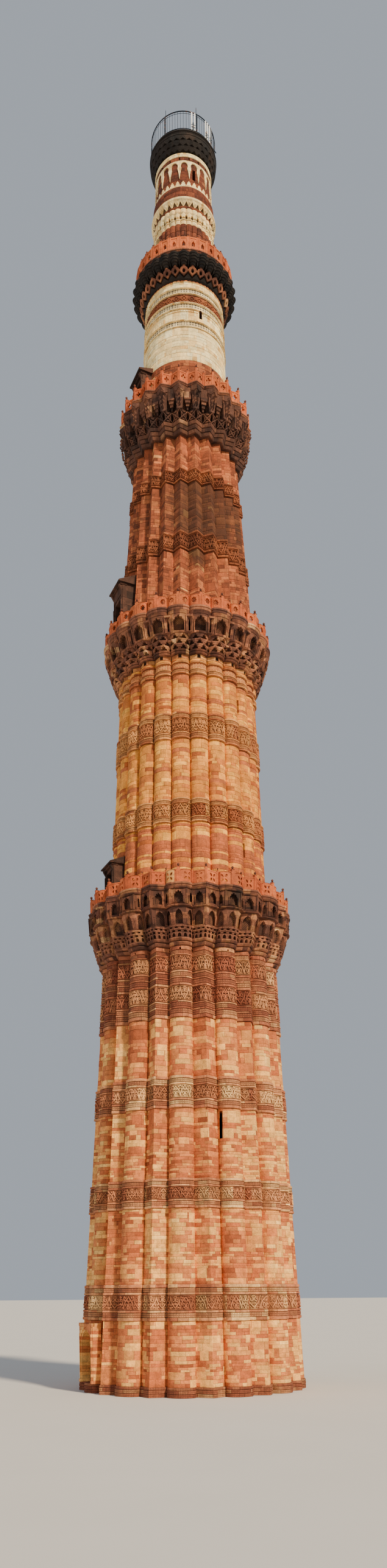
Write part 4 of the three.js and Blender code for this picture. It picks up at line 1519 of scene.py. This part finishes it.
def four_points(width, height):
    return [lobed(min(width, height) * 0.3, height * 0.52, 4, 0.5)]


posts = [(0.0, 0.0, finial_post(0.06, 0.44, 0.026)), (0.5, 0.5, finial_post(0.08, 0.47, 0.033))]
parapet("balcony_3_panels", star_outline, 1.92, 0.07, FLOOR_3, 0.29, 0.38, [halves], [posts], four_points,
        "balcony_3_parapet", 2060)


# Storey 4: a plain round drum. Behind the parapet it is red, above that white marble in smooth courses.
# Inlaid nets, ribs and a red band of framed diamonds go round its head.
drum_outline = Outline([[(-1, 1), (-0.5, 1), (0, 1), (0.5, 1), (1, 1)]], 32, 0, 0)
STOREY_4_TOP = 32.035
storey_4 = Skin(drum_outline, [(FLOOR_3, 1.3), (STOREY_4_TOP, 1.13)])
STOREY_4_BORE = 0.775
MARBLE_BLOCKS = [
    (0.0, (0.78, 0.478, 0.172)), (0.08, (0.92, 0.644, 0.271)), (0.26, (1.0, 0.754, 0.353)),
    (0.55, (1.0, 0.81, 0.418)), (0.84, (1.0, 0.856, 0.492)),
]
MARBLE_GROUND = (0.48, 0.32, 0.14)
marble = masonry("marble_finish", MARBLE_BLOCKS, MARBLE_GROUND, block=0.3, joint=0.2, stains=0.16,
                 bias=0.05, rows=2)
RED_TOP = 29.8
LATTICE_4 = 30.735
SMALL_DOOR = (0.46, 0.95, 0)
steps, tops = coursed(FLOOR_3, RED_TOP, 0.16, 40)
upper_steps, upper_tops = coursed(RED_TOP, LATTICE_4, 0.17, 41)
stone_ring("storey_4_wall_1_blocks", storey_4, steps[:-1] + upper_steps, tops + upper_tops[1:],
           STOREY_4_BORE, marble, "marble", 2100, "storey_4_wall_1",
           cutters=[doorway_cutter(DOOR_AZIMUTH, *SMALL_DOOR, FLOOR_3, 0.5, 1.8)],
           other=(red_stone, lambda z, radius: z <= RED_TOP))
door_frame("balcony_3_doorway", storey_4, 1.49, 1.03, FLOOR_3, SMALL_DOOR, (0.64, 1.08), (0.76, 1.25),
           shaded_door_finish, "balcony_3_door_frame", 2190)


def net(size, rows):
    """A net of narrow bars that leaves small diamonds between them."""
    def pattern(u, v):
        across = abs((u / size).fraction() - 0.5) + abs((v * rows).fraction() - 0.5)
        return 1 - (across < 0.39)
    return pattern


def diamond_shape(width, height, middle):
    return [(0, middle - height / 2), (width / 2, middle), (0, middle + height / 2), (-width / 2, middle)]


cell_width = drum_outline.length(0) * storey_4.radius(31.3)
inlay_blocks = [(0.0, (0.86, 0.68, 0.38)), (0.5, (0.95, 0.8, 0.5))]
inlaid_band = {
    "roll": marble,
    "net": masonry("marble_net_finish", inlay_blocks, (0.06, 0.055, 0.05), block=0.5, stains=0.25,
                   pattern=net(cell_width / 3, 3)),
    "red": masonry("red_inlay_finish", RED_BAND_BLOCKS, SOOT_AND_SHADE, block=0.5, stains=0.4),
    # Painted shade: the faces inside the slits are painted near black for the shade in them.
    "inside": masonry("inner_stone_painted_shade_finish", SOOTY_AND_SHADE_BLOCKS, SOOT_AND_SHADE, block=0.5),
}
HEAD_4 = [
    (0.015, "roll"), (0.16, "net"), (0.015, "roll"), (0.31, "ribs"), (0.015, "roll"), (0.16, "net"),
    (0.015, "roll"), (0.24, "red"), (0.015, "roll"), (0.14, "net"), (0.01, "roll"),
]
LATTICE_TOP = 31.83
rows_4 = fitted(LATTICE_4, LATTICE_TOP, HEAD_4)
feet_4 = [LATTICE_4 + sum(height for height, _ in rows_4[:k]) for k in range(len(rows_4))]
RIB_ROW = 3
RED_ROW = 7
rib_height = rows_4[RIB_ROW][0]
rib_width = cell_width / 3
rib = block(0, 0, rib_width * 0.62, rib_height * 0.8, 0.04, 0.0, top=0.5)
rib_cap = block(0, rib_height * 0.8, rib_width * 0.85, rib_height * 0.12, 0.04, 0.003)
diamond_frame = plate(cell_width, 0.2, [diamond_shape(cell_width * 0.66, 0.13, 0.115)], 0.03, 0.002,
                      diamond_shape(cell_width * 0.98, 0.2, 0.115))
diamond_heart = plate(cell_width, 0.2, [], 0.03, 0.002, diamond_shape(cell_width * 0.36, 0.07, 0.115))
trim = new_trim()
tier(trim, storey_4, feet_4[RIB_ROW] + 0.005, [evenly(3, rib) + evenly(3, rib_cap)], (24, -156))
tier(trim, storey_4, feet_4[RED_ROW] + 0.003, [evenly(1, diamond_frame) + evenly(1, diamond_heart)])
band_piece("storey_4_lattice_band", storey_4, LATTICE_4, rows_4, STOREY_4_BORE, inlaid_band, 2200, [1],
           slit_pair(24, 31.05, 0.23, 0.6, 1.4), lift=0.03, trim=trim)

steps, tops = coursed(LATTICE_TOP, STOREY_4_TOP, 0.4, 42)
TIPS_4 = 32.0
trim = new_trim()
tier(trim, storey_4, TIPS_4, [evenly(2, plate(0.1, 0.03, [], 0.03, 0.02, pointed(0.1, 0.03, 0.01)))])
stone_ring("storey_4_wall_2_blocks", storey_4, steps, tops, STOREY_4_BORE, marble, "marble", 2240,
           "storey_4_wall_2", trim=trim,
           other=(red_stone, lambda z, radius: radius > storey_4.radius(TIPS_4) + 0.004))


# Balcony 4: a sooty ring of small leaf tips, star shapes with a round hollow in each, and ribbed half
# shells that carry the floor. The parapet above has 32 panels with a small cusped arch in each.
def half_shell(width, height, ribs=6):
    """Half discs stacked upwards, each larger than the one below."""
    bm = new_trim()
    for k in range(ribs):
        share = (k + 1) / ribs
        radius = width / 2 * (0.25 + 0.72 * math.sin(share * math.pi / 2))
        verts = bmesh.ops.create_circle(bm, cap_ends=True, segments=14, radius=radius)["verts"]
        upper = thicken(bm, [verts[0].link_faces[0]])
        bmesh.ops.translate(bm, verts=upper, vec=(0, 0, height / ribs * 0.8))
        bmesh.ops.rotate(bm, verts=verts + upper, matrix=Matrix.Rotation(-math.pi / 2, 3, "X"))
        bmesh.ops.translate(bm, verts=verts + upper, vec=(0, height * k / ribs, -0.05 + 0.02 * share))
    return as_template(bm)


BLACK_BLOCKS = [(0.0, (0.016, 0.016, 0.017)), (0.4, (0.025, 0.022, 0.021)), (0.8, (0.048, 0.034, 0.028))]
# Both paint their sunk ground darker, as painted shade.
corbel_finish_4 = masonry("corbel_4_finish", BLACK_BLOCKS, SOOT_AND_SHADE, block=0.3, stains=0.7, carved=(-0.1, 0.02))
star_tip_finish = masonry("star_tip_finish", CORBEL_BLOCKS, SOOT_AND_SHADE, block=0.3, stains=0.5,
                          carved=(-0.03, 0.012))
SLAB_4 = 32.53
FLOOR_4 = 32.62
corbel_4 = Skin(drum_outline, [(STOREY_4_TOP, 1.17), (32.24, 1.29), (32.4, 1.4), (SLAB_4, 1.455)])
steps = [
    (STOREY_4_TOP, -0.03), (32.04, -0.01), (32.06, 0.0), (32.065, -0.04), (32.14, -0.06), (32.26, -0.12),
    (32.5, -0.2), (32.505, -0.01), (SLAB_4, 0.0),
]
cell_width = drum_outline.length(0) * corbel_4.radius(32.2)
star_edge = [(0, -0.02), (0.3, 0.03), (0.5, 0.07), (0.34, 0.115)]
star_edge += [(0, 0.145), (-0.34, 0.115), (-0.5, 0.07), (-0.3, 0.03)]
star_edge = [(x * cell_width, y) for x, y in star_edge]
leaf_tip = plate(cell_width, 0.08, [], 0.05, 0.0,
                 [(-cell_width * 0.45, 0), (cell_width * 0.45, 0), (0, 0.085)])
trim = new_trim()
tier(trim, corbel_4, 32.062, [evenly(1, leaf_tip, 0.0)])
tier(trim, corbel_4, 32.125,
     [evenly(1, plate(0.2, 0.14, [lobed(0.042, 0.064, 8, 0.95)], 0.1, 0.02, star_edge))])
tier(trim, corbel_4, 32.255, [evenly(1, half_shell(cell_width * 1.05, 0.25))])
tier(trim, corbel_4, 32.3, [evenly(1, hanging_stone(cell_width * 0.4, 0.2, 3, 0.1), 0.0)])


def on_star(z, radius):
    return 32.1 < z < 32.28 and radius - corbel_4.radius(z) > -0.06


stone_ring("balcony_4_corbel_stones", corbel_4, steps, [STOREY_4_TOP, 32.13, 32.26, 32.39, SLAB_4],
           STOREY_4_BORE, corbel_finish_4, "weathered_stone", 2300, "balcony_4_corbel", trim=trim,
           other=(star_tip_finish, on_star))

floor_slab("balcony_4_floor", drum_outline, SLAB_4, FLOOR_4, 1.465, 0, slab_finish_1, "balcony_4_slab")


def small_arch(width, height):
    return [moved(cusped(width * 0.42, height * 0.42, height * 0.16, 3), 0, height * 0.3)]


parapet("balcony_4_panels", drum_outline, 1.41, 0, FLOOR_4, 0.33, 0.36, [[(0.0, 1.0)]],
        [[(0.0, 0.0, finial_post(0.075, 0.44, 0.03))]], small_arch, "balcony_4_parapet", 2330)


# Storey 5, columns and cornice: slim half columns side by side, red below and white marble above, with
# little arches between their heads. The cornice has white teeth with a round drop on each.
column_outline = Outline([round_flute(6)], 32, 0, 0.05)
CORNICE_5 = 34.22
storey_5 = Skin(column_outline, [(FLOOR_4, 0.88), (34.1, 0.86), (CORNICE_5, 0.88)])
STOREY_5_BORE = 0.55
TOP_RED_BLOCKS = [
    (0.0, (0.12, 0.036, 0.02)), (0.3, (0.18, 0.05, 0.026)), (0.6, (0.25, 0.07, 0.032)),
    (0.9, (0.36, 0.13, 0.055)),
]
top_red = masonry("top_red_finish", TOP_RED_BLOCKS, (0.04, 0.02, 0.014), block=0.22, joint=0.35, stains=0.5,
                  rows=2)
# Painted shade: the marble is painted dark where it sinks back, under the little arches and behind the
# cornice teeth.
recessed_marble = masonry("recessed_marble_finish", MARBLE_BLOCKS, (0.12, 0.06, 0.03), block=0.3,
                          stains=0.35, carved=(-0.02, -0.006))
COLUMN_RED_TOP = 33.82
steps, tops = coursed(FLOOR_4, COLUMN_RED_TOP, 0.2, 50)
upper_steps, upper_tops = coursed(COLUMN_RED_TOP, 33.92, 0.06, 51)
neck_steps = [
    (33.925, 0.016), (33.945, 0.02), (33.95, -0.01), (33.96, -0.01), (33.965, -0.02), (34.1, -0.02),
    (34.105, 0.02), (34.13, 0.026), (34.135, 0.01), (34.2, 0.01), (CORNICE_5, 0.0),
]
cell_width = column_outline.length(0) * storey_5.radius(34.0)
half = cell_width / 2
head_edge = [(-half, 0.02)] + pointed(cell_width * 0.5, 0.09, 0.03) + [(half, 0.02), (half, 0.13),
                                                                       (-half, 0.13)]
trim = new_trim()
tier(trim, storey_5, 33.97, [evenly(1, plate(cell_width, 0.13, [], 0.05, 0.03, head_edge), 0.0)])
stone_ring("storey_5_half_columns", storey_5, steps[:-1] + upper_steps + neck_steps,
           tops + upper_tops[1:] + [34.1, CORNICE_5], STOREY_5_BORE, recessed_marble, "marble", 2400,
           "storey_5_columns", cutters=[doorway_cutter(DOOR_AZIMUTH, 0.44, 1.25, 0.26, FLOOR_4, 0.4, 1.3)],
           trim=trim, other=(top_red, lambda z, radius: z <= COLUMN_RED_TOP))

RED_BAND_5 = 34.48
cornice_skin = Skin(drum_outline, [(CORNICE_5, 0.85), (34.31, 0.855), (34.42, 0.935), (RED_BAND_5, 0.94)])
steps = [
    (CORNICE_5, 0.0), (34.24, 0.01), (34.29, 0.01), (34.295, -0.02), (34.41, -0.06), (34.415, 0.0),
    (34.43, 0.008), (34.47, 0.008), (RED_BAND_5, 0.0),
]
cell_width = drum_outline.length(0) * 0.9
side = cell_width * 0.47
tooth = plate(cell_width, 0.13, [], 0.06, 0.0,
              [(0, -0.01), (side, 0.1), (side, 0.13), (-side, 0.13), (-side, 0.1)])
drop = new_trim()
bmesh.ops.create_uvsphere(drop, u_segments=8, v_segments=6, radius=0.026)
bmesh.ops.translate(drop, verts=drop.verts, vec=(0, 0.065, 0.012))
trim = new_trim()
tier(trim, cornice_skin, 34.285, [evenly(1, tooth) + evenly(1, as_template(drop))])
stone_ring("storey_5_toothed_cornice", cornice_skin, steps, [CORNICE_5, 34.29, RED_BAND_5], STOREY_5_BORE,
           recessed_marble, "marble", 2430, "storey_5_cornice", trim=trim,
           other=(top_red, lambda z, radius: z < 34.292 and radius > 0.85))

ARCADE_5 = 34.8
red_drum = Skin(drum_outline, [(RED_BAND_5, 0.895), (ARCADE_5, 0.885)])
wall_ring("storey_5_red_courses", red_drum, RED_BAND_5, ARCADE_5, 0.16, 52, STOREY_5_BORE, top_red,
          "red_stone", 2440, [], "storey_5_red_band")


# Storey 5, arcade: eighteen horseshoe arches of white marble on red stone, whose feet taper to points.
# Small white crenels stand below them, and a row of red blocks lies above.
arch_outline = Outline([[(k / 4 - 1, 1) for k in range(9)]], 18, 2.5, 0)
TOP_CORBEL = 35.655
arcade_5 = Skin(arch_outline, [(ARCADE_5, 0.835), (TOP_CORBEL, 0.805)])
steps = [
    (ARCADE_5, 0.0), (34.83, 0.02), (34.86, 0.02), (34.87, -0.015), (35.53, -0.015), (35.535, 0.004),
    (35.56, 0.004), (35.565, -0.03), (35.65, -0.03), (TOP_CORBEL, 0.0),
]
bay_width = arch_outline.length(0) * arcade_5.radius(35.2)
arch_radius = bay_width * 0.36
arch_height = 0.53
spring = arch_height - arch_radius * 1.15
arch_edge = [(-bay_width / 2, 0.06), (-bay_width * 0.43, spring * 0.5), (-bay_width * 0.3, spring * 0.86)]
for k in range(11):
    turn = math.radians(205 - 23 * k)
    arch_edge.append((arch_radius * math.cos(turn), spring + arch_radius * math.sin(turn)))
arch_edge += [(bay_width * 0.3, spring * 0.86), (bay_width * 0.43, spring * 0.5), (bay_width / 2, 0.06)]
arch_edge += [(bay_width * (0.5 - k / 6), arch_height) for k in range(7)]
crenel_width = bay_width * 18 / 32
crenel_edge = [
    (-0.42, 0), (0.42, 0), (0.42, 0.03), (0.26, 0.05), (0.3, 0.075), (0, 0.13), (-0.3, 0.075),
    (-0.26, 0.05), (-0.42, 0.03),
]
crenel = plate(crenel_width, 0.13, [], 0.03, 0.006, [(x * crenel_width, y) for x, y in crenel_edge])
trim = new_trim()
tier(trim, arcade_5, 35.0, [evenly(1, plate(bay_width, arch_height, [], 0.035, 0.012, arch_edge))])
tier(trim, Skin(drum_outline, arcade_5.levels), 34.868, [evenly(1, crenel)])
tier(trim, arcade_5, 35.568, [evenly(1, block(0, 0, bay_width * 0.82, 0.08, 0.04, 0.008))])


def in_red(z, radius):
    return not (z < 35.56 and radius - arcade_5.radius(z) > -0.012)


stone_ring("storey_5_arches", arcade_5, steps, [ARCADE_5, 34.87, 35.03, 35.19, 35.35, 35.53, TOP_CORBEL],
           STOREY_5_BORE, marble, "marble", 2450, "storey_5_arcade",
           cutters=slit_pair(22.5, 35.075, 0.275, 0.4, 1.1), trim=trim, other=(top_red, in_red))


# The top: a white ring, a dark corbel that steps out in three zigzag rows, the top floor with its double
# edge, and the iron railing with thin bars. Two lightning rods stand beside the railing.
TOP_SLAB = 36.15
TOP_FLOOR = 36.24
top_corbel = Skin(drum_outline, [(TOP_CORBEL, 0.805), (35.765, 0.81), (36.0, 0.94), (TOP_SLAB, 0.97)])
steps = [
    (TOP_CORBEL, 0.0), (35.665, 0.016), (35.75, 0.016), (35.765, -0.01), (35.77, -0.03), (35.9, -0.06),
    (36.02, -0.07), (36.11, -0.06), (36.115, 0.0), (TOP_SLAB, 0.0),
]
trim = new_trim()
for row, low in enumerate((35.785, 35.885, 35.99)):
    width = drum_outline.length(0) * top_corbel.radius(low)
    edge = [(0, 0), (width / 2, 0.045), (width / 2, 0.105), (-width / 2, 0.105), (-width / 2, 0.045)]
    tier(trim, top_corbel, low, [evenly(1, plate(width, 0.1, [], 0.1, 0.012, edge), 0.5 * (row % 2))])
stone_ring("top_corbel_stones", top_corbel, steps, [TOP_CORBEL, 35.765, 35.885, 35.99, TOP_SLAB],
           STOREY_5_BORE, corbel_finish_4, "weathered_stone", 2460, "top_corbel", trim=trim,
           other=(marble, lambda z, radius: z < 35.77 and radius > 0.8))
floor_slab("top_floor", drum_outline, TOP_SLAB, TOP_FLOOR, 0.98, 0, corbel_finish_4, "top_slab")

iron = Finish("painted_iron_finish", roughness=0.45, metallic=0.6)
rust = iron.rise(iron.noise(14.0, 5.0), 0.55, 0.7)
iron.paint(iron.mix(rust, (0.02, 0.03, 0.045, 1), (0.12, 0.05, 0.025, 1)))
iron.bump(iron.noise(60.0), 0.002)


def upright(bm, azimuth, radius, low, high, size, sides=8):
    verts = bmesh.ops.create_cone(bm, cap_ends=True, segments=sides, radius1=size, radius2=size,
                                  depth=high - low)
    bmesh.ops.translate(bm, verts=verts["verts"], vec=spot(azimuth, radius, (low + high) / 2))


def hoop(bm, radius, z, size):
    ring = bmesh.ops.create_circle(bm, segments=8, radius=size)["verts"]
    edges = list(dict.fromkeys(edge for vert in ring for edge in vert.link_edges))
    bmesh.ops.rotate(bm, verts=ring, matrix=Matrix.Rotation(math.pi / 2, 3, "X"))
    bmesh.ops.translate(bm, verts=ring, vec=(radius, 0, z))
    bmesh.ops.spin(bm, geom=ring + edges, cent=(0, 0, 0), axis=(0, 0, 1), angle=2 * math.pi, steps=72,
                   use_merge=True)


RAIL_RADIUS = 0.925
RAIL_TOP = 36.76
LOW_RAIL = 36.3
railing = bmesh.new()
for z, size in ((36.757, 0.013), (36.7, 0.005), (LOW_RAIL, 0.009)):
    hoop(railing, RAIL_RADIUS, z, size)
for k in range(72):
    if k % 12 == 0:
        upright(railing, -34 + k * 5, RAIL_RADIUS, TOP_FLOOR, RAIL_TOP, 0.019)
    else:
        upright(railing, -34 + k * 5, RAIL_RADIUS, LOW_RAIL, RAIL_TOP, 0.0055, 5)
set_stone("railing", railing, [iron], "iron", "top_railing", crease=50)
for number, azimuth in ((1, -34), (2, 26)):
    rod = bmesh.new()
    for low, high, size in ((TOP_FLOOR, 36.97, 0.008), (TOP_FLOOR, 36.28, 0.012), (36.97, 37.0, 0.003)):
        upright(rod, azimuth, 0.875, low, high, size)
    set_stone(f"lightning_rod_{number}_iron", rod, [iron], "iron", f"lightning_rod_{number}", crease=50)


# Aerials at the right of the railing: six white panels that stand on the floor's edge outside the bars.
# Dark clamps with struts hold them in pairs, and one arm reaches out over the edge.
panel_paint = Finish("white_panel_finish", roughness=0.5)
grime = panel_paint.rise(panel_paint.noise(9.0, 4.0, stretch=(1.0, 1.0, 0.2)), 0.45, 0.7)
panel_paint.paint(panel_paint.mix(grime, (1.0, 1.0, 1.0, 1), (0.72, 0.72, 0.7, 1)))
panel_paint.bump(panel_paint.noise(30.0), 0.001)


def strut(bm, start, end, size):
    """A thin bar between two places."""
    reach = end - start
    cone = bmesh.ops.create_cone(bm, cap_ends=True, segments=8, radius1=size, radius2=size,
                                 depth=reach.length)
    verts = cone["verts"]
    bmesh.ops.rotate(bm, verts=verts, matrix=reach.to_track_quat("Z", "Y").to_matrix())
    bmesh.ops.translate(bm, verts=verts, vec=(start + end) / 2)


PANEL_PAIRS = ((15.6, 21.2), (43.4, 48.2), (54.0, 59.5))
aerials = bmesh.new()
for azimuth in [side for pair in PANEL_PAIRS for side in pair]:
    verts = bmesh.ops.create_cube(aerials, size=1)["verts"]
    bmesh.ops.scale(aerials, verts=verts, vec=(0.034, 0.018, 0.46))
    edges = list(dict.fromkeys(edge for vert in verts for edge in vert.link_edges))
    bmesh.ops.rotate(aerials, verts=verts, matrix=Matrix.Rotation(math.radians(azimuth), 3, "Z"))
    bmesh.ops.translate(aerials, verts=verts, vec=spot(azimuth, 0.951, 36.5))
    bmesh.ops.bevel(aerials, geom=edges, offset=0.004, segments=2, profile=0.5, affect="EDGES", material=-1)
white_faces = len(aerials.faces)
for left, right in PANEL_PAIRS:
    middle = (left + right) / 2
    for z in (36.34, 36.4):
        strut(aerials, spot(left - 0.8, 0.957, z), spot(right + 0.8, 0.957, z), 0.012)
    strut(aerials, spot(middle, 0.95, 36.47), spot(middle, 0.95, TOP_FLOOR), 0.017)
    strut(aerials, spot(middle, 0.95, 36.42), spot(middle + 3, 0.87, 36.245), 0.01)
strut(aerials, spot(62, 0.95, 36.27), spot(78, 0.985, 36.36), 0.013)
aerials.faces.ensure_lookup_table()
for face in aerials.faces[white_faces:]:
    face.material_index = 1
set_stone("aerial_panels", aerials, [panel_paint, iron], "iron", crease=40)
